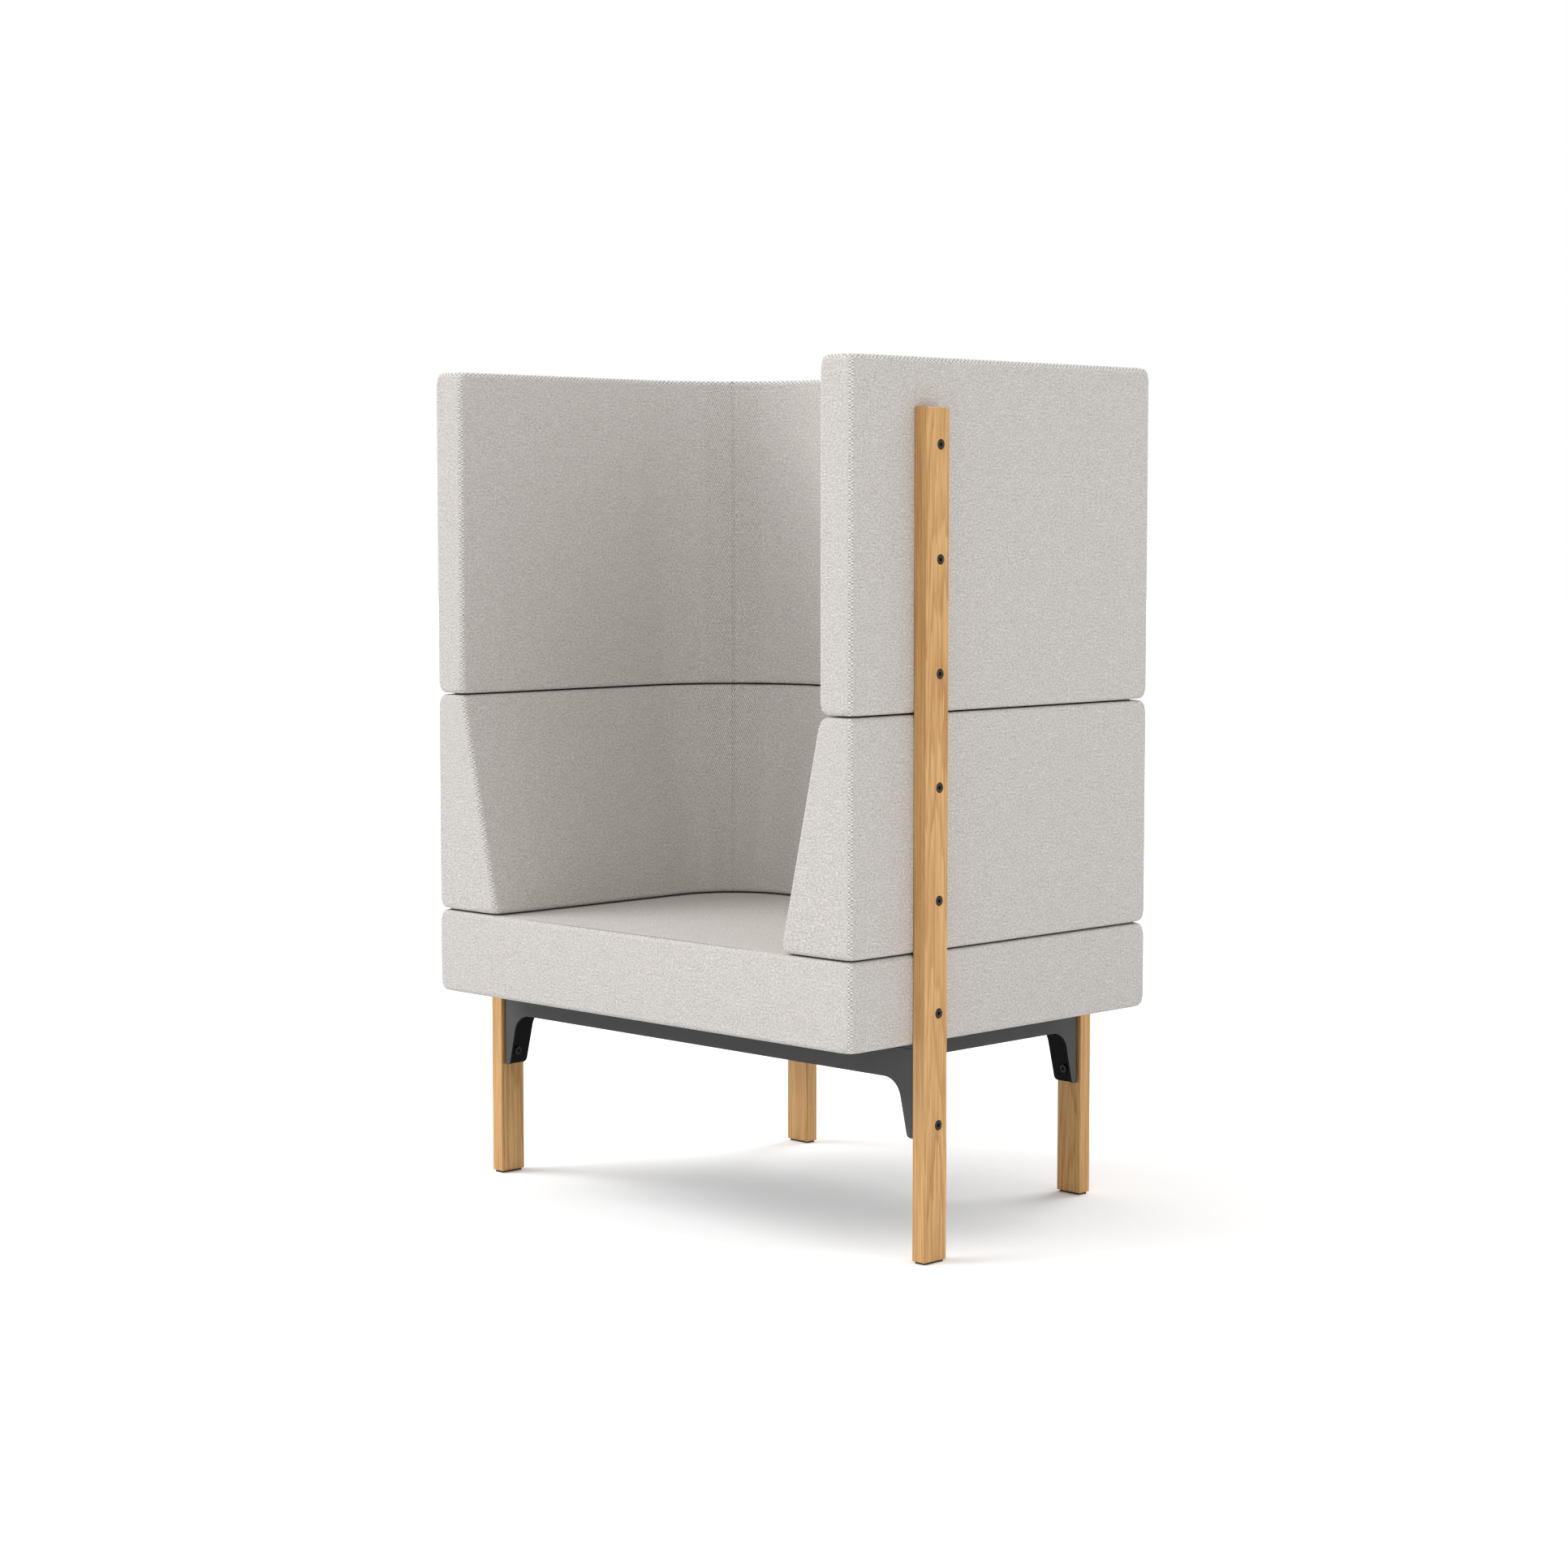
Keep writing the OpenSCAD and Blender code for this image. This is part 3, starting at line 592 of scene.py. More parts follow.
@dataclass(frozen=True)
class FlangeShadedSteel(Coating):
    """Coated steel whose flanges, the faces across one axis, are painted near black as shade: the
    shade under the seat and the dark line along their folds by the posts.
    """

    axis: int = 0
    # Near black painted on the flanges as the shade that falls on them.
    painted_shade_black: tuple = srgb(9, 9, 9)
    facing_ramp: tuple = (0.25, 0.45)

    def add_painted_shade(self, g: Graph, colour: Socket) -> Socket:
        """Painted shade: near black where the face's normal lies along the axis."""
        facing = g.math("ABSOLUTE", g.split(g.object_normal())[self.axis])
        return g.blend(g.ramp(facing, *self.facing_ramp), colour, self.painted_shade_black)


@dataclass(frozen=True)
class Plywood:
    """Bare plywood, with a figure drawn out along Z."""

    name: str = "bare_plywood"
    pale: tuple = srgb(214, 184, 140)
    tan: tuple = srgb(190, 154, 108)
    brown: tuple = srgb(158, 120, 80)
    figure: Cells = Cells((60, 60, 5), (0, 0, 0), 3.0, 0.6, 0.4)
    fibre: Cells = Cells((500, 500, 20))
    figure_ramp: tuple = (0.3, 0.7)
    fibre_ramp: tuple = (0.4, 0.8, 0.0, 0.3)
    fibre_depth: float = 0.1 * MM
    roughness: float = 0.7

    def material(self) -> Material:
        """Face grain drawn out along Z over a slow mottle.

        Returns:
            The finished material.
        """
        g = Graph(self.name)
        point = g.object_point()
        fibre = g.noise(point, self.fibre)
        colour = g.stain(self.pale, (g.ramp(g.noise(point, self.figure), *self.figure_ramp), self.tan),
                         (g.ramp(fibre, *self.fibre_ramp), self.brown))
        return g.finish(colour, self.roughness, g.bump(fibre, self.fibre_depth))


class Corner(Enum):
    """The chair's four posts, by where they stand."""

    FRONT_LEFT = "front_left"
    FRONT_RIGHT = "front_right"
    REAR_LEFT = "rear_left"
    REAR_RIGHT = "rear_right"

    def node(self, piece: str) -> str:
        """Name of the frame's node for a piece at this corner."""
        return f"{self.value}_{piece}"


# The underside fact marks near-black cloth: partly dust cloth, partly painted shade for the gap.
FACTS = {"turn": 0.0, "arc": 0.0, "seam": 99.0, "lined": 0.0, "firm": 1.0}


@dataclass
class ClothMesh:
    """Points, faces and cloth facts of one cover, collected patch by patch.

    The facts are turn, 1 where the cloth turns an edge, opens its weave and is painted lighter as a
    highlight; arc, 1 on the arc of an inner corner; seam, the distance in mm to the nearest stitched
    seam; lined, 1 on a ring's near-black underside, partly its dust cloth and partly painted shade for
    the gap below; and firm, 1 where the cloth is held and 0 where it can puff. FACTS holds their plain
    values.
    """

    points: list = field(default_factory=list)
    quads: list = field(default_factory=list)
    cloth: list = field(default_factory=list)
    facts: dict = field(default_factory=lambda: {name: [] for name in FACTS})
    count: int = 0

    def add_grid(self, points: np.ndarray, cloth: np.ndarray, **facts: np.ndarray) -> None:
        """Adds a grid of quads whose normal is (next column) x (next row).

        Args:
            points: rows by columns by 3, in mm.
            cloth: rows by columns by 2, distances along the cloth in mm.
            facts: facts of the cloth that differ from their plain values.
        """
        rows, columns = points.shape[:2]
        index = np.arange(rows * columns).reshape(rows, columns) + self.count
        corners = (index[:-1, :-1], index[:-1, 1:], index[1:, 1:], index[1:, :-1])
        self.quads.append(np.stack(corners, -1).reshape(-1, 4))
        self.points.append(points.reshape(-1, 3))
        self.cloth.append(cloth.reshape(-1, 2))
        for name, plain in FACTS.items():
            values = np.broadcast_to(facts.get(name, plain), (rows, columns))
            self.facts[name].append(values.reshape(-1))
        self.count += rows * columns

    def close(self, ring: np.ndarray) -> None:
        """Closes a ring of points, whose last is its first, with slim quads to its middle.

        Args:
            ring: the points, in mm.
        """
        centre = np.broadcast_to(ring[:-1].mean(0), ring.shape)
        fan = np.stack([ring, centre])
        self.add_grid(fan, fan[..., :2])

    def build(self, name: str) -> bpy.types.Object:
        """Makes the object, in metres, with its UV map and facts, and closes its seams.

        Args:
            name: the piece's name.

        Returns:
            The new object, linked to the scene.
        """
        quads = np.concatenate(self.quads)
        mesh = bpy.data.meshes.new(name)
        mesh.from_pydata(np.concatenate(self.points) * MM, [], quads)
        uv = np.concatenate(self.cloth)[quads.reshape(-1)] * MM
        mesh.uv_layers.new(name="cloth").data.foreach_set("uv", uv.astype(np.float32).reshape(-1))
        for label, values in self.facts.items():
            layer = mesh.attributes.new(label, "FLOAT", "POINT")
            layer.data.foreach_set("value", np.concatenate(values).astype(np.float32))
        return finish_mesh(name, mesh)


def finish_mesh(name: str, mesh: bpy.types.Mesh, reach: float = 2e-5) -> bpy.types.Object:
    """Joins a mesh's doubled points, turns its faces outwards, smooths it and links it to the scene.

    Args:
        name: the object's name.
        mesh: a closed shape, in metres.
        reach: how near two points are to be joined.

    Returns:
        The new object.
    """
    work = bmesh.new()
    work.from_mesh(mesh)
    bmesh.ops.remove_doubles(work, verts=work.verts, dist=reach)
    bmesh.ops.recalc_face_normals(work, faces=work.faces)
    work.to_mesh(mesh)
    work.free()
    mesh.polygons.foreach_set("use_smooth", np.ones(len(mesh.polygons), bool))
    mesh.update()
    piece = bpy.data.objects.new(name, mesh)
    bpy.context.scene.collection.objects.link(piece)
    return piece


def corner(cx: np.ndarray, cy: np.ndarray, radius: np.ndarray, degrees: np.ndarray) -> np.ndarray:
    """Points about (cx, cy) at these angles, for each level.

    Args:
        cx, cy: centre of each level's arc, or one for all.
        radius: radius at each level.
        degrees: the angles.

    Returns:
        Levels by angles by 2.
    """
    angle = np.radians(degrees)[None, :]
    cx, cy, radius = (np.reshape(v, (-1, 1)) for v in np.broadcast_arrays(cx, cy, radius))
    return np.stack([cx + radius * np.cos(angle), cy + radius * np.sin(angle)], -1)


def bridge(chain: list[np.ndarray], steps: list[int]) -> np.ndarray:
    """Joins runs of points with straight rows of evenly spaced points between them.

    Args:
        chain: arrays of levels by points by 2, in order.
        steps: how many steps to take between each run and the next.

    Returns:
        Levels by all points by 2.
    """
    parts = [chain[0]]
    for before, after, count in zip(chain, chain[1:], steps):
        share = np.linspace(0, 1, count + 1)[None, 1:-1, None]
        parts += [before[:, -1:] * (1 - share) + after[:, :1] * share, after]
    return np.concatenate(parts, 1)


def row(x: object, y: object, levels: int) -> np.ndarray:
    """The same row of points at each level: levels by points by 2."""
    line = np.stack(np.broadcast_arrays(np.atleast_1d(x), y), -1).astype(float)
    return np.broadcast_to(line, (levels,) + line.shape)


def mirrored(run: np.ndarray) -> np.ndarray:
    """The same run on the chair's other side, in the order that carries it on."""
    return run[:, ::-1] * [-1, 1]


def lengths_along(lines: np.ndarray) -> np.ndarray:
    """Distance along rows of points from their first points."""
    steps = np.linalg.norm(np.diff(lines, axis=-2), axis=-1)
    return np.concatenate([0 * steps[..., :1], np.cumsum(steps, -1)], -1)


def ease(share: np.ndarray) -> np.ndarray:
    """Smooth rise from 0 to 1."""
    share = np.clip(share, 0, 1)
    return share * share * (3 - 2 * share)


def fade(distance: np.ndarray, start: float, reach: float) -> np.ndarray:
    """Smooth fall from 1 at the start to 0 a reach further on."""
    return 1 - ease((distance - start) / reach)


def outward(loop: np.ndarray) -> np.ndarray:
    """Outward normals in plan of closed counterclockwise loops whose last point is their first.

    A point's normal is its neighbours' difference, turned a quarter clockwise.

    Args:
        loop: levels by points by 2.

    Returns:
        The normals, shaped as the loop.
    """
    ring = loop[:, :-1]
    step = np.roll(ring, -1, 1) - np.roll(ring, 1, 1)
    normal = np.stack([step[..., 1], -step[..., 0]], -1)
    normal /= np.linalg.norm(normal, axis=-1, keepdims=True)
    return np.concatenate([normal, normal[:, :1]], 1)


@dataclass(frozen=True)
class PostPrints:
    """Where the posts press on the blocks, in mm from the chair's middle and its front faces.

    The posts' edges have the radius rounding, room is the gap that the cloth keeps from them, and a
    point within skin of an outer face counts as on it.
    """

    side_near: float
    side_far: float
    back_near: float
    back_far: float
    top: float
    rounding: float = 2.0
    room: float = 0.15
    top_reach: float = 14.0
    fan: float = 0.8
    skin: float = 6.0

    @classmethod
    def from_frame(cls, front_y: float) -> "PostPrints":
        """Reads the prints off the frame's right-hand posts.

        Args:
            front_y: place of the blocks' front faces, in mm.

        Returns:
            The prints.
        """
        low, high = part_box(Corner.FRONT_RIGHT.node("post"))
        back_low, back_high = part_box(Corner.REAR_RIGHT.node("post"))
        side = (low.y / MM - front_y, high.y / MM - front_y)
        return cls(*side, back_low.x / MM, back_high.x / MM, high.z / MM)

    def inside(self, x: np.ndarray, y: np.ndarray, half_width: float, depth: float) -> np.ndarray:
        """How far points lie inside a post's width: below 0 outside it, -FAR_MM off the outer faces.

        Args:
            x, y: the points in plan.
            half_width: place of the blocks' side faces.
            depth: place of the blocks' back face.

        Returns:
            The distances, in mm.
        """
        side = np.minimum(y - self.side_near, self.side_far - y)
        back = np.minimum(np.abs(x) - self.back_near, self.back_far - np.abs(x))
        side = np.where(np.abs(x) > half_width - self.skin, side, -FAR_MM)
        return np.maximum(side, np.where(y > depth - self.skin, back, -FAR_MM))

    def held(self, inside: np.ndarray, z: np.ndarray, swell: np.ndarray) -> np.ndarray:
        """How far the cloth stands out of its flat face by the posts, in mm.

        Behind a post it lies flat. Beside it the cloth fills the hollow under the post's rounded
        edge, r - sqrt(r^2 - (r - inside)^2), up to its own swell. Above the post's top the swell
        grows back as 1 - (1 - s)^2, where s is the length of the two parts distance beside the
        post / (1 + fan x distance above it) and distance above it / top_reach.

        Args:
            inside: distance inside the post's width.
            z: heights.
            swell: how far the cloth would stand out with no post near.

        Returns:
            The height that it stands out.
        """
        across = np.clip(inside, 0, self.rounding)
        hollow = self.rounding - np.sqrt(self.rounding ** 2 - (self.rounding - across) ** 2)
        beside = np.where(inside > 0, np.minimum(hollow - self.room, swell), swell)
        above = np.maximum(0, z - self.top)
        share = np.hypot(np.maximum(0, -inside) / (1 + self.fan * above), above / self.top_reach)
        return np.where(z > self.top, swell * (1 - (1 - np.clip(share, 0, 1)) ** 2), beside)

    def clear(self, inside: np.ndarray, z: np.ndarray) -> np.ndarray:
        """How free of the posts the cloth is, from 0 on them to 1 at top_reach from them."""
        away = np.hypot(np.maximum(0, -inside), np.maximum(0, z - self.top))
        return np.where(inside > -FAR_MM, ease(away / self.top_reach), 1.0)

    def marks(self, near: float, far: float) -> np.ndarray:
        """Places of the mesh's columns by a post's two edges."""
        close = np.array([-4.0, 0.0, 0.3, 0.7, 1.1, 1.6, 2.4])
        return np.concatenate([near + close, far - close[::-1]])


@dataclass
class Block:
    """What the three upholstered blocks share, in mm, with Y drawn back from their front faces.

    A span is where a fade starts and how far it reaches.
    """

    name: str
    node: str
    low: float
    high: float
    half_width: float
    depth: float
    front_y: float
    prints: PostPrints
    top_radius: float = 6.0
    foot_radius: float = 7.0
    corner_edge_radius: float = 9.0
    corner_edge_span: tuple = (5.0, 14.0)
    upright_radius: float = 9.0
    tip_radius: float = 15.5
    tip_reach: float = 19.0
    corner_steps: int = 12
    edge_steps: int = 10
    spacing: float = 10.0
    mark_room: float = 2.5
    level_room: float = 3.0
    clear: float = 32.0
    puff: float = 0.8
    puff_start: float = 8.0
    edge_reach: float = 30.0
    seam_draw: float = 0.5
    seam_width: float = 2.0
    seam_hold: float = 3.0
    measure_span: tuple = (10.0, 18.0)
    weave_span: tuple = (1.5, 3.5)
    top_weave: float = 0.0
    top_weave_reach: float = 3.0
    arc_weave: float = 0.8
    arc_span: tuple = (43.0, 9.0)
    first_stitch: float = 0.0
    firm_steps: int = 20
    pressure: float = 0.15
    cap: float = 0.9
    frames: int = 10

    def levels(self) -> tuple[np.ndarray, np.ndarray]:
        """Heights above the underside and upright radii of the levels of the side walls.

        Returns:
            Two arrays of the same length. The upright radius eases from tip_radius to
            upright_radius over tip_reach, and levels lie closer by the edges and by the posts' tops.
        """
        height = self.high - self.low
        turned = np.radians(np.linspace(0, 90, self.edge_steps + 1))
        edge = self.corner_edge_radius * (1 - np.cos(turned))
        lower = np.concatenate([edge, np.linspace(self.corner_edge_radius, self.clear, 4)[1:]])
        count = max(4, round((height - 2 * self.clear) / self.spacing))
        middle = np.linspace(self.clear, height - self.clear, count + 1)[1:-1]
        top = self.prints.top - self.low + np.array([-1.0, 0.3, 4.0, 9.0, 15.0])
        top = top[(top > self.clear) & (top < height - self.clear)]
        if len(top):
            far = np.abs(middle[:, None] - top).min(1) > self.level_room
            middle = np.sort(np.concatenate([middle[far], top]))
        rise = np.concatenate([lower, middle, height - lower[::-1]])
        nearer = np.minimum(rise, height - rise)
        swell = self.tip_radius - self.upright_radius
        return rise, self.upright_radius + swell * fade(nearer, 0, self.tip_reach)

    def arc(self, start: float, end: float) -> np.ndarray:
        """Angles of an upright edge."""
        return np.linspace(start, end, self.corner_steps + 1)

    def stations(self, start: float, end: float, near: float, far: float) -> np.ndarray:
        """Places of the columns along an outer face from start to end, closer by the post's edges.

        Args:
            start, end: where the columns begin and end.
            near, far: the post's two edges.

        Returns:
            The places, in order from start to end.
        """
        plain = np.linspace(start, end, round(abs(end - start) / self.spacing) + 1)
        marks = self.prints.marks(near, far)
        plain = plain[np.abs(plain[:, None] - marks).min(1) > self.mark_room]
        return np.sort(np.concatenate([plain, marks]))[::int(np.sign(end - start))]

    def right_run(self, radius: np.ndarray, side_end: float, rear_end: float,
                  steps: int) -> tuple[np.ndarray, int, int]:
        """The levels' outline from the right front edge to where the rear face's own columns end.

        Args:
            radius: radius of the upright edges at each level.
            side_end: how far back the side face's own columns go.
            rear_end: how far in the rear face's own columns go.
            steps: steps from the last column of the side face to the rear edge.

        Returns:
            Levels by points by 2, and the numbers of columns on the side face and on the rear face.
        """
        w, d, n = self.half_width, self.depth, len(radius)
        side = self.stations(self.clear, side_end, self.prints.side_near, self.prints.side_far)
        rear = self.stations(w - self.clear, rear_end, self.prints.back_near, self.prints.back_far)
        run = bridge([corner(w - radius, radius, radius, self.arc(-90, 0)), row(w, side, n),
                      corner(w - radius, d - radius, radius, self.arc(0, 90)), row(rear, d, n)],
                     [2, steps, 2])
        return run, len(side), len(rear)

    def wrap(self, cover: ClothMesh, loop: np.ndarray, seams: list[int],
             stitched: list[int]) -> np.ndarray:
        """Adds the side walls: the loop's levels, rounded over at the edges and bulged between them.

        A level h from the nearer edge is drawn in by e - sqrt(e^2 - (e - h)^2), where e fades from
        corner_edge_radius at the upright edges to foot_radius or top_radius. The bulge is puff x
        ease(h / edge_reach) x ease(distance along the loop to the nearest upright edge /
        edge_reach), less what the posts hold, and a stitched seam draws the cloth in by seam_draw x
        exp(-(distance / seam_width)^2). The weave opens on the upright edges, and by top_weave on the
        top ones, and there the cloth is also painted lighter as a highlight.

        Args:
            cover: the mesh to add to.
            loop: levels by columns by 2, counterclockwise, with its last column on its first.
            seams: columns at the middles of the upright edges.
            stitched: columns of the seams that have no edge.

        Returns:
            The walls in plan, levels by columns by 2.
        """
        rise, _ = self.levels()
        middle = len(rise) // 2
        below_top = (self.high - self.low - rise)[:, None]
        nearer = np.minimum(rise[:, None], below_top)
        z = np.broadcast_to((self.low + rise)[:, None], loop.shape[:2])
        local = self.nearest(loop, seams)
        from_edge = np.abs(local[middle])
        from_stitch = np.full(loop.shape[1], FAR_MM)
        if stitched:
            from_stitch = np.abs(self.nearest(loop, stitched)[middle])
        plain = np.where(below_top > rise[:, None], self.foot_radius, self.top_radius)
        edge = plain + (self.corner_edge_radius - plain) * fade(from_edge, *self.corner_edge_span)
        drawn = edge - np.sqrt(np.maximum(0, edge ** 2 - np.maximum(0, edge - nearer) ** 2))
        free = ease((nearer - plain) / self.edge_reach)
        free = free * ease((from_edge - self.puff_start) / self.edge_reach)
        inside = self.prints.inside(loop[..., 0], loop[..., 1], self.half_width, self.depth)
        seam_dip = self.seam_draw * np.exp(-(from_stitch / self.seam_width) ** 2)
        bulge = self.prints.held(inside, z, self.puff * free) - seam_dip
        plan = loop + outward(loop) * (bulge - drawn)[..., None]
        points = np.stack([plan[..., 0], plan[..., 1] + self.front_y, z], -1)
        top = self.top_weave * fade(below_top, self.top_radius, self.top_weave_reach)
        turn = np.maximum(fade(np.abs(local), *self.weave_span), top)
        arc = self.arc_weave * fade(from_stitch[None, :], *self.arc_span)
        free = free * self.prints.clear(inside, z) * (1 - np.exp(-(from_stitch / self.seam_hold) ** 2))
        cover.add_grid(points, self.measure(lengths_along(loop[middle]), rise, local, seams),
                       turn=turn, arc=arc, seam=from_stitch[None, :], firm=1 - free)
        return plan

    def measure(self, along: np.ndarray, rise: np.ndarray, local: np.ndarray,
                seams: list[int]) -> np.ndarray:
        """Distances along the cloth and up it at each point of the side walls.

        The middle level's distances are eased so that each upright edge lies on a multiple of
        EDGE_MM, between its two rows of beads. Near an edge each level keeps its own distance from
        it, faded out by measure_span. The way up is measured from the first stitch.

        Args:
            along: distances along the middle level.
            rise: heights of the levels.
            local: distances from the nearest upright edge, levels by columns.
            seams: columns at the middles of the upright edges.

        Returns:
            Levels by columns by 2, in mm.
        """
        level = local[len(rise) // 2]
        marks = np.sort(along[seams])
        snapped = along + np.interp(along, marks, np.round(marks / EDGE_MM) * EDGE_MM - marks)
        across = snapped + (local - level) * fade(np.abs(level), *self.measure_span)
        up = np.broadcast_to(rise[:, None] - self.first_stitch, across.shape)
        return np.stack([across, up], -1)

    def nearest(self, loop: np.ndarray, columns: list[int]) -> np.ndarray:
        """Signed distance round each level from the column that is nearest at the middle level.

        Args:
            loop: levels by columns by 2, with its last column on its first.
            columns: the columns to measure from.

        Returns:
            Levels by columns.
        """
        along = lengths_along(loop)
        period = along[:, -1:]
        gaps = (along[:, None, :] - along[:, columns, None] + period[:, None] / 2) % period[:, None]
        gaps -= period[:, None] / 2
        choice = np.abs(gaps[len(loop) // 2]).argmin(0)
        return np.take_along_axis(gaps, choice[None, None, :], 1)[:, 0]

    def settle(self, piece: bpy.types.Object) -> None:
        """Lets the cloth find its own shape under a light pressure, held where it is firm.

        The Cloth modifier runs over a few frames, no point moves further than cap, and the result
        is written to the mesh.

        Args:
            piece: the cover.
        """
        mesh = piece.data
        firm = np.empty(len(mesh.vertices), np.float32)
        mesh.attributes["firm"].data.foreach_get("value", firm)
        held = piece.vertex_groups.new(name="held")
        steps = np.round(firm * self.firm_steps).astype(int)
        for step in np.unique(steps):
            held.add(np.flatnonzero(steps == step).tolist(), float(step) / self.firm_steps, "REPLACE")
        cloth = piece.modifiers.new("cloth", "CLOTH")
        cloth.settings.quality = 3
        cloth.settings.mass = 0.3
        cloth.settings.tension_stiffness = cloth.settings.compression_stiffness = 30
        cloth.settings.shear_stiffness = 20
        cloth.settings.bending_stiffness = 8
        cloth.settings.use_pressure = True
        cloth.settings.uniform_pressure_force = self.pressure
        cloth.settings.vertex_group_mass = held.name
        cloth.settings.effector_weights.gravity = 0
        cloth.collision_settings.use_collision = False
        cloth.point_cache.frame_start, cloth.point_cache.frame_end = 1, self.frames
        before = np.empty(3 * len(mesh.vertices), np.float32)
        mesh.vertices.foreach_get("co", before)
        for frame in range(1, self.frames + 1):
            bpy.context.scene.frame_set(frame)
        solved = piece.evaluated_get(bpy.context.evaluated_depsgraph_get()).data
        after = np.empty_like(before)
        solved.vertices.foreach_get("co", after)
        move = (after - before).reshape(-1, 3)
        length = np.linalg.norm(move, axis=1, keepdims=True)
        limit = self.cap * MM
        move *= limit * np.tanh(length / limit) / np.maximum(length, 1e-9)
        log.info("%s: cloth would move %.2f mm and moved %.2f mm at most", piece.name,
                 length.max() / MM, np.linalg.norm(move, axis=1).max() / MM)
        piece.modifiers.remove(cloth)
        piece.vertex_groups.remove(held)
        bpy.context.scene.frame_set(1)
        mesh.vertices.foreach_set("co", before + move.reshape(-1))
        mesh.update()

    def dress(self, piece: bpy.types.Object, cloth: Material, fill: float) -> None:
        """Gives the cover its cloth and ties it to the frame.

        Args:
            piece: the cover.
            cloth: its material.
            fill: how tightly the block is filled, from 0 to 1; not used.
        """
        piece.data.materials.append(cloth)
        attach(piece, "root")
        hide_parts(self.node)
        log.info("%s: %d faces", piece.name, len(piece.data.polygons))


@dataclass
class Ring(Block):
    """A U-shaped ring: arms and back, or the privacy screen."""

    foot_wall: float = 65.0
    head_wall: float = 65.0
    corner_radius: float = 190.0
    screen_wall: float = 65.0
    tip_tuck: float = 2.0
    tip_span: tuple = (10.0, 80.0)
    stitch_pitch: float = 8.6
    stitch_margin: float = 8.0
    stitch_proud: float = 0.1
    leg_steps: int = 16
    strip_spacing: float = 12.0

    def walls(self, rise: np.ndarray) -> np.ndarray:
        """Wall thickness at each level, straight from foot to head."""
        return self.foot_wall + (self.head_wall - self.foot_wall) * rise / (self.high - self.low)

    def bend_centre(self) -> tuple[float, float]:
        """Centre of the right inner corner, the same at every height."""
        both = self.screen_wall + self.corner_radius
        return self.half_width - both, self.depth - both

    def chains(self, wall: np.ndarray, radius: np.ndarray) -> tuple[np.ndarray, np.ndarray, int]:
        """The levels' outer and inner outlines, both from the right tip round the back to the left.

        The cloth is pulled tight round the tips: the inner face comes out by tip_tuck there, faded
        out behind the front by tip_span.

        Args:
            wall: wall thickness at each level.
            radius: radius of the upright edges at each level.

        Returns:
            Two arrays of levels by points by 2, with as many points each, so that they pair across
            the wall, and the column of the right rear corner and of the seam inside it.
        """
        bend_x, bend_y = self.bend_centre()
        right, side, rear = self.right_run(radius, bend_y, bend_x, self.leg_steps)
        spread = np.array([0.25, 0.5, 0.75, 1.1, 1.7, 2.4])
        fine = 45 + np.concatenate([-spread[::-1], [0], spread])
        turn = np.concatenate([np.linspace(0, fine[0], self.leg_steps + 1)[:-1], fine,
                               np.linspace(fine[-1], 90, rear + 2)[1:]])
        within = bridge([corner(self.half_width - wall + radius, radius, radius, self.arc(270, 180)),
                         corner(bend_x, bend_y, self.corner_radius - wall + self.screen_wall, turn)],
                        [side + 1])
        within[..., 0] += self.tip_tuck * fade(within[..., 1], *self.tip_span)
        back = round(2 * bend_x / self.spacing)
        outer = bridge([right, mirrored(right)], [back])
        inner = bridge([within, mirrored(within)], [back])
        return outer, inner, self.corner_steps + side + self.leg_steps + 1 + self.corner_steps // 2

    def build(self) -> bpy.types.Object:
        """Side walls as one closed grid, and a strip across the wall's thickness at each end.

        The lower strip is near black: partly the ring's dust cloth and partly painted shade for the gap
        below it.

        Returns:
            The closed cover.
        """
        spare = (self.high - self.low - 2 * self.stitch_margin) % self.stitch_pitch
        self.first_stitch = self.stitch_margin + spare / 2
        rise, radius = self.levels()
        outer, inner, back = self.chains(self.walls(rise), radius)
        count, half = outer.shape[1], self.corner_steps // 2
        face = self.foot_wall / 2 + self.head_wall / 2 - 2 * self.upright_radius
        ends = np.array([0, 3, 7, 13]) / face
        between = np.linspace(ends[-1], 1 - ends[-1], round(face / self.strip_spacing))[1:-1]
        shares = np.concatenate([ends, between, 1 - ends[::-1]])
        across = shares[None, 1:-1, None]
        left = outer[:, -1:] * (1 - across) + inner[:, -1:] * across
        right = inner[:, :1] * (1 - across) + outer[:, :1] * across
        loop = np.concatenate([outer, left, inner[:, ::-1], right, outer[:, :1]], 1)
        first = count + len(shares) - 2
        tips = [half, count - 1 - half, first + half, first + count - 1 - half]
        cover = ClothMesh()
        seams = tips + [back, count - 1 - back]
        plan = self.wrap(cover, loop, seams, [first + back, first + count - 1 - back])
        for level, flip in ((0, True), (-1, False)):
            edge = plan[level]
            near, far = edge[:count], edge[first:first + count][::-1]
            strip = near * (1 - shares[:, None, None]) + far * shares[:, None, None]
            strip[:, -1] = edge[count - 1:first + 1]
            strip[:, 0] = edge[first + count - 1:][::-1]
            height = np.full(strip.shape[:2] + (1,), self.low + rise[level])
            cap = np.concatenate([strip + [0, self.front_y], height], -1)
            cap = cap[::-1] if flip else cap
            # The lower cap is near black: partly dust cloth, partly painted shade for the gap below.
            cover.add_grid(cap, cap[..., :2], lined=np.full(cap.shape[:2], float(flip)))
        return cover.build(self.name)

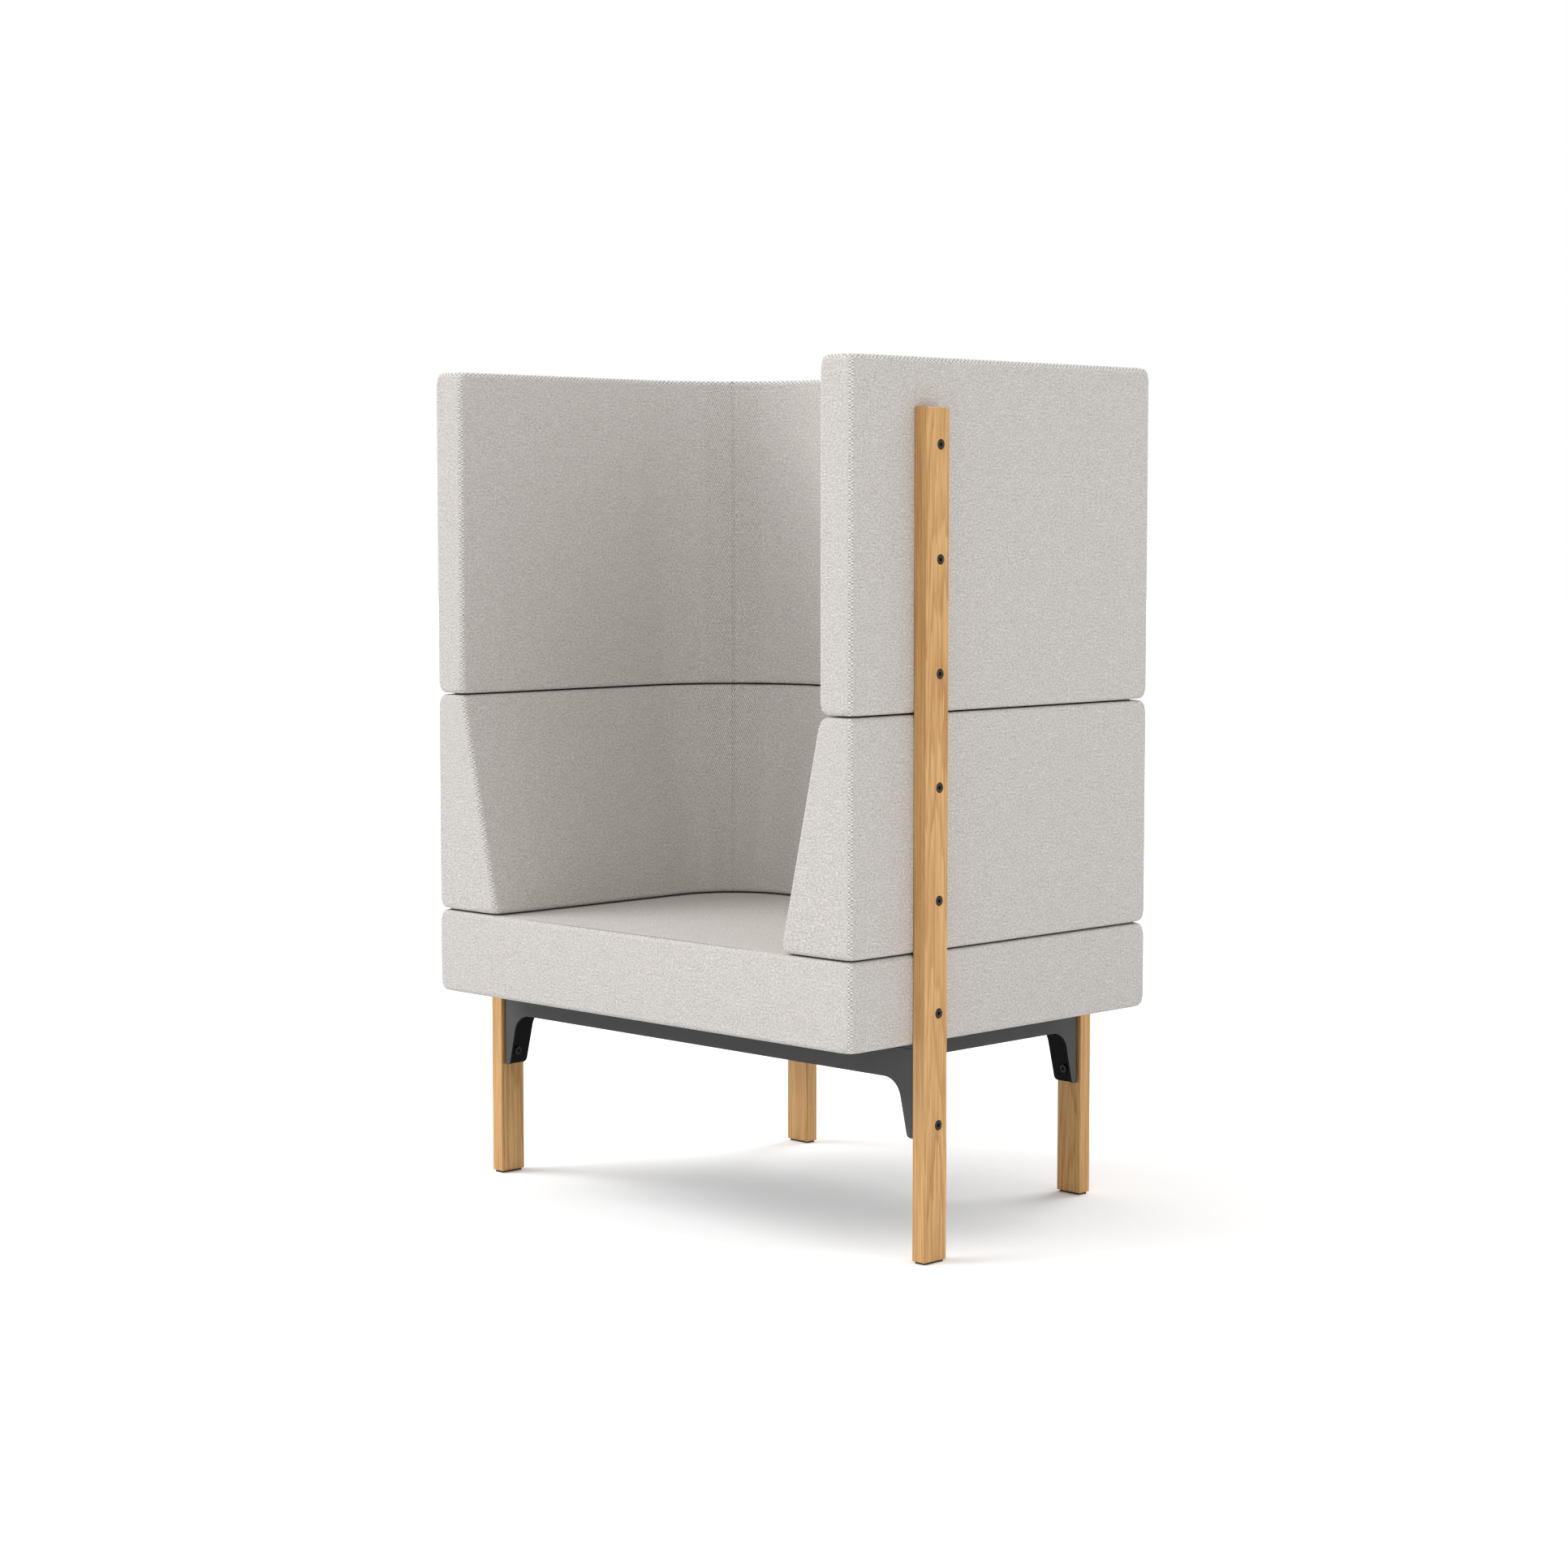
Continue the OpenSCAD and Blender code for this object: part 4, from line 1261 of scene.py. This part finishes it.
    def stitches(self) -> np.ndarray:
        """Places of the stitches down the seams of the inner corners.

        Returns:
            Stitches by 3 rows of numbers: the point in mm, the unit way along the seam, and the unit
            way out of the cloth.
        """
        last = self.high - self.low - self.stitch_margin
        rise = np.arange(self.first_stitch, last, self.stitch_pitch)
        reach = self.corner_radius - self.walls(rise) + self.screen_wall + self.stitch_proud
        bend_x, bend_y = self.bend_centre()
        root = math.sqrt(0.5)
        places = []
        for side in (1, -1):
            x, y = side * (bend_x + reach * root), bend_y + reach * root + self.front_y
            points = np.stack([x, y, self.low + rise], -1)
            along = np.gradient(points, axis=0)
            along /= np.linalg.norm(along, axis=1, keepdims=True)
            out = np.cross(along, np.cross([-side * root, -root, 0.0], along))
            out /= np.linalg.norm(out, axis=1, keepdims=True)
            places.append(np.stack([points, along, out], 1))
        return np.concatenate(places)


@dataclass
class SeatBlock(Block):
    """The flat seat block, with a slight belly between the arms and a turned-under lip."""

    arm_wall: float = 142.0
    crown: float = 5.0
    lip_inset: float = 35.3
    lip_rise: float = 3.9
    arm_edge_share: float = 0.9

    def outline(self, radius: np.ndarray) -> tuple[np.ndarray, list[int]]:
        """Closed outlines of the levels, counterclockwise from the front right corner.

        Args:
            radius: radius of the upright edges at each level.

        Returns:
            Levels by points by 2, and the columns at the middles of the four upright edges.
        """
        half = self.corner_steps // 2
        back, front = round(2 * self.clear / self.spacing), round(2 * self.half_width / self.spacing)
        right, side, _ = self.right_run(radius, self.depth - self.clear, self.clear, 2)
        around = bridge([right, mirrored(right), right[:, :1]], [back, front])
        turn = self.corner_steps + 2 + side + 1 + half
        last = 2 * right.shape[1] + back - 2
        return around, [half, turn, last - turn, last - half]

    def belly(self, x: np.ndarray, y: np.ndarray) -> np.ndarray:
        """Rise of the seat: a fourth-power dome across and a parabola from front to back.

        It is crown x (1 - u^2)^2 x (1 - v^2), with u and v from 0 in the middle to 1 at the arms.

        Args:
            x, y: the points in plan.

        Returns:
            The rise at each point, in mm.
        """
        half_w, half_d = self.half_width - self.arm_wall, (self.depth - self.arm_wall) / 2
        u, v = np.minimum(1, np.abs(x) / half_w), np.minimum(1, np.abs(y - half_d) / half_d)
        return self.crown * (1 - u * u) ** 2 * (1 - v * v)

    def build(self) -> bpy.types.Object:
        """Side walls, a top of shrinking rings with the belly, and an underside turned in to a lip.

        Returns:
            The closed cover.
        """
        _, radius = self.levels()
        outline, middles = self.outline(radius)
        w, d = self.half_width, self.depth
        cover = ClothMesh()
        ring = self.wrap(cover, outline, middles, [])
        # How far out from the middle each ring of the lid lies: closer by the rim, then evenly.
        shares = np.concatenate([1 - 0.5 * np.linspace(0, 1, 24) ** 1.1, np.linspace(0.48, 0.01, 22)])
        centre = np.array([0, d / 2])
        top = centre + (ring[-1] - centre) * shares[:, None, None]
        high = self.high + self.belly(top[..., 0], top[..., 1])
        lid = np.concatenate([top + [0, self.front_y], high[..., None]], -1)
        arms = np.maximum(np.abs(top[..., 0]) / (w - self.arm_wall), top[..., 1] / (d - self.arm_wall))
        under_arms = ease((arms - self.arm_edge_share) / (1 - self.arm_edge_share))
        cover.add_grid(lid, lid[..., :2], firm=under_arms)
        cover.close(lid[-1])
        edge, inset = ring[0], self.lip_inset
        lip = np.clip(edge, [inset - w, inset], [w - inset, d - inset])
        turned = np.stack([edge, lip, lip]) + [0, self.front_y]
        heights = self.low + np.array([0, 0, self.lip_rise])[:, None, None]
        heights = np.broadcast_to(heights, turned.shape[:2] + (1,))
        bottom = np.concatenate([turned, heights], -1)[::-1]
        cover.add_grid(bottom, bottom[..., :2] + bottom[..., 2:])
        cover.close(bottom[0][::-1])
        return cover.build(self.name)


@dataclass
class Stitching:
    """Rows of raised thread stitches, one mesh for all."""

    name: str = "corner_stitching"
    length: float = 3.6
    width: float = 2.2
    height: float = 1.6

    def build(self, places: np.ndarray, thread: Material) -> None:
        """Sets one small rounded bar at each place.

        A bar is an ellipsoid: half length x sin(t) along the seam, and half width and half height
        x cos(t) across and out of the cloth.

        Args:
            places: stitches by 3 by 3: point in mm, way along, way out.
            thread: the thread's material.
        """
        turn = np.radians(np.arange(0, 360, 45))
        turn, swing = np.meshgrid(turn, np.radians(np.linspace(-90, 90, 7)))
        girth = np.cos(swing)
        bar = np.stack([self.length * np.sin(swing), self.width * girth * np.cos(turn),
                        self.height * girth * np.sin(turn)], -1).reshape(-1, 3) / 2
        along, out = places[:, 1], places[:, 2]
        axes = np.stack([along, np.cross(out, along), out], 1)
        points = places[:, None, 0] + np.einsum("pi,sij->spj", bar, axes)
        rows, columns = turn.shape
        index = np.arange(rows * columns).reshape(rows, columns)
        ahead = np.roll(index, -1, 1)
        quads = np.stack([index[:-1], ahead[:-1], ahead[1:], index[1:]], -1).reshape(-1, 4)
        faces = (quads[None] + (rows * columns * np.arange(len(places)))[:, None, None]).reshape(-1, 4)
        mesh = bpy.data.meshes.new(self.name)
        mesh.from_pydata(points.reshape(-1, 3) * MM, [], faces)
        piece = finish_mesh(self.name, mesh)
        piece.data.materials.append(thread)
        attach(piece, "root")
        log.info("%s: %d stitches", piece.name, len(places))


@dataclass
class Upholstery:
    """The covers of the three blocks and their stitching."""

    cloth: MelangeWool = field(default_factory=MelangeWool)

    def build(self) -> None:
        """Makes the covers at the heights of the nodes that they replace."""
        material = self.cloth.material()
        low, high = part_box("seat_cover")
        plan = {"half_width": high.x / MM, "depth": (high.y - low.y) / MM, "front_y": low.y / MM}
        plan["prints"] = PostPrints.from_frame(plan["front_y"])
        places = []
        for kind, name, node, extra, fill in (
                (SeatBlock, "seat_upholstery", "seat_cover", {}, 0.85),
                (Ring, "arm_ring_upholstery", "lower_cover", {"foot_wall": 142.0}, 0.9),
                (Ring, "screen_ring_upholstery", "upper_cover", {"top_weave": 0.8}, 0.9)):
            low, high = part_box(node)
            top = high.z / MM - (SeatBlock.crown if kind is SeatBlock else 0)
            block = kind(name=name, node=node, low=low.z / MM, high=top, **plan, **extra)
            piece = block.build()
            block.settle(piece)
            block.dress(piece, material, fill)
            if kind is Ring:
                places.append(block.stitches())
        thread = Coating("seam_thread", srgb(238, 233, 226), roughness=0.8, grain_mm=0.5,
                         grain_depth=0.05 * MM, mottle_share=0.06, specular=0.25)
        Stitching().build(np.concatenate(places), thread.material())


@dataclass
class Hardware:
    """The frame's own nodes, dressed in their finishes."""

    nodes: dict
    pith_reach: float = 0.050
    pith_shift: float = 0.004
    seeds: tuple = (1.13, 2.71, 4.45, 6.02)

    def paint(self, names: list[str], material: Material) -> None:
        """Gives nodes a material in every slot.

        Args:
            names: the nodes' names.
            material: the material.
        """
        for name in names:
            mesh = self.nodes[name].data
            mesh.materials.clear()
            mesh.materials.append(material)
            log.info("%s: %s", name, material.name)

    def oak(self, post: Corner, seed: float) -> PaleOak:
        """The oak of one post, whose pith lies behind its wide outer face.

        Args:
            post: where the post stands.
            seed: what sets its grain apart.

        Returns:
            The finish.
        """
        low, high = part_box(post.node("post"))
        middle = [(low.x + high.x) / 2, (low.y + high.y) / 2]
        if high.x - low.x < high.y - low.y:
            middle[0] -= math.copysign(self.pith_reach, middle[0])
            middle[1] += self.pith_shift
        else:
            middle[0] += self.pith_shift
            middle[1] -= self.pith_reach
        return PaleOak(f"oak_{post.value}", seed, tuple(middle))

    def rails(self, name: str, axis: int) -> FlangeShadedSteel:
        """The powder coat of the rails, with painted shade on the flanges that lie across this axis.

        Args:
            name: the material's name.
            axis: 0 for flanges across X and 1 for flanges across Y.

        Returns:
            The finish.
        """
        return FlangeShadedSteel(name, srgb(86, 86, 87), roughness=0.62, grain_mm=0.9, grain_depth=0.05 * MM,
                          mottle_share=0.10, specular=0.12, axis=axis)

    def build(self) -> None:
        """Dresses the posts one by one, so that no two have the same grain, and the rest by finish."""
        for post, seed in zip(Corner, self.seeds):
            self.paint([post.node("post")], self.oak(post, seed).material())
        finishes = (
            # Both rail finishes carry painted shade on their flanges.
            (self.rails("charcoal_cross_rail", axis=0), ["front_rail", "rear_rail"]),
            (self.rails("charcoal_side_rail", axis=1), ["left_rail", "right_rail"]),
            (Coating("black_oxide", srgb(18, 18, 19), roughness=0.5, grain_mm=0.7,
                     grain_depth=0.02 * MM, mottle_share=0.10, specular=0.35),
             [post.node("bolts") for post in Corner] + ["frame_nuts"]),
            (Coating("black_rubber", srgb(24, 24, 24), roughness=0.85, grain_mm=0.8,
                     grain_depth=0.03 * MM, specular=0.25),
             ["seat_spacers", "lower_spacer", "upper_spacer"]),
            (Coating("black_nylon", srgb(34, 34, 35), roughness=0.6, grain_mm=0.6,
                     grain_depth=0.02 * MM, mottle_share=0.06),
             [post.node("glide") for post in Corner]),
            (Coating("bright_zinc", srgb(188, 190, 194), roughness=0.32, grain_mm=1.2,
                     grain_depth=0.01 * MM, mottle_share=0.06, metallic=1.0),
             ["seat_screws", "seat_inserts", "lower_inserts", "upper_inserts"]),
            (Coating("cut_foam", srgb(233, 224, 196), roughness=0.95, grain_mm=0.9,
                     grain_depth=0.4 * MM, mottle_share=0.06, specular=0.2),
             ["seat_foam", "lower_foam", "upper_foam"]),
            (Coating("black_lining", srgb(33, 33, 34), roughness=0.95, grain_mm=1.1,
                     grain_depth=0.1 * MM, mottle_share=0.15, specular=0.2),
             ["seat_dust_cover"]),
            (Coating("elastic_webbing", srgb(40, 39, 38), roughness=0.85, grain_mm=1.6,
                     grain_depth=0.3 * MM, mottle_share=0.15, specular=0.25),
             ["seat_webbing"]),
            (Plywood(), [name for name in self.nodes if name.endswith(("_board", "_batten"))]),
        )
        for finish, names in finishes:
            self.paint(names, finish.material())


@dataclass(frozen=True)
class Lamp:
    """A broad, far lamp: its angle round from +X and its height in degrees, and its strength."""

    name: str
    azimuth: float
    elevation: float
    level: float
    spread: float = 40.0

    def hang(self) -> None:
        """Adds the lamp, shining at the chair."""
        data = bpy.data.lights.new(self.name, "SUN")
        data.energy, data.angle = self.level, math.radians(self.spread)
        turn, lift = math.radians(self.azimuth), math.radians(self.elevation)
        way = Vector((math.cos(lift) * math.cos(turn), math.cos(lift) * math.sin(turn), math.sin(lift)))
        lamp = bpy.data.objects.new(self.name, data)
        lamp.rotation_euler = way.to_track_quat("Z", "Y").to_euler()
        bpy.context.scene.collection.objects.link(lamp)


@dataclass
class Studio:
    """Floor, backdrop, light and camera."""

    eye: tuple = (3.5183, -3.54805, 1.0565)
    aim_degrees: tuple = (85.294, 0.0, 44.899)
    lens_mm: float = 74.34
    sensor_mm: float = 36.0
    sight: float = 200.0
    world_level: float = 0.60
    lamps: tuple = (Lamp("key_front_left", -135, 42, 1.79), Lamp("rim_back", 90, 42, 1.00),
                    Lamp("fill_right", 0, 12, 0.51), Lamp("fill_front", -90, 12, 0.205))
    floor_half: float = 30.0
    floor_tone: float = 0.82
    floor_seen: float = 1.24

    def build(self) -> None:
        """Makes the studio round the chair."""
        self.camera()
        self.world()
        for lamp in self.lamps:
            lamp.hang()
        self.floor()

    def camera(self) -> None:
        """Camera at the photograph's place, worked out by calibration."""
        data = bpy.data.cameras.new("camera")
        data.lens, data.sensor_width, data.clip_end = self.lens_mm, self.sensor_mm, self.sight
        camera = bpy.data.objects.new("camera", data)
        camera.location = self.eye
        camera.rotation_euler = Euler([math.radians(a) for a in self.aim_degrees])
        bpy.context.scene.collection.objects.link(camera)
        bpy.context.scene.camera = camera

    def world(self) -> None:
        """Even light, and white for camera and glossy rays."""
        world = bpy.data.worlds.new("studio")
        bpy.context.scene.world = world
        world.use_nodes = True
        tree = world.node_tree
        background = tree.nodes["Background"]
        background.inputs["Color"].default_value = (1, 1, 1, 1)
        tree.links.new(self.seen(tree, self.world_level, 1.0), background.inputs["Strength"])

    def seen(self, tree: bpy.types.NodeTree, plain: float, shown: float) -> Socket:
        """A level that differs where the studio itself is seen.

        Args:
            tree: the node tree to add to.
            plain: the level that lights the chair.
            shown: the level for camera, glossy and transmission rays.

        Returns:
            The level's socket.
        """
        rays, level = tree.nodes.new("ShaderNodeLightPath"), tree.nodes.new("ShaderNodeMapRange")
        for name, number in (("To Min", plain), ("To Max", shown)):
            level.inputs[name].default_value = number
        either = rays.outputs["Is Camera Ray"]
        for kind in ("Is Glossy Ray", "Is Transmission Ray"):
            most = tree.nodes.new("ShaderNodeMath")
            most.operation = "MAXIMUM"
            tree.links.new(either, most.inputs[0])
            tree.links.new(rays.outputs[kind], most.inputs[1])
            either = most.outputs[0]
        tree.links.new(either, level.inputs["Value"])
        return level.outputs[0]

    def floor(self) -> None:
        """A pale floor that keeps the chair's shadow and melts into the backdrop."""
        half = self.floor_half
        edge = [(-half, -half, 0), (half, -half, 0), (half, half, 0), (-half, half, 0)]
        mesh = bpy.data.meshes.new("floor")
        mesh.from_pydata(edge, [], [(0, 1, 2, 3)])
        floor = bpy.data.objects.new("floor", mesh)
        bpy.context.scene.collection.objects.link(floor)
        material = bpy.data.materials.new("pale_floor")
        material.use_nodes = True
        tree = material.node_tree
        tree.nodes.clear()
        matt = tree.nodes.new("ShaderNodeBsdfDiffuse")
        output = tree.nodes.new("ShaderNodeOutputMaterial")
        tree.links.new(self.seen(tree, self.floor_tone, self.floor_seen), matt.inputs["Color"])
        tree.links.new(matt.outputs[0], output.inputs["Surface"])
        mesh.materials.append(material)


def main() -> None:
    logging.basicConfig(level=logging.INFO, format="%(message)s")
    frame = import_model()
    Studio().build()
    Upholstery().build()
    Hardware(frame["nodes"]).build()
    bpy.context.scene.view_settings.view_transform = "Standard"


if __name__ == "__main__":
    main()
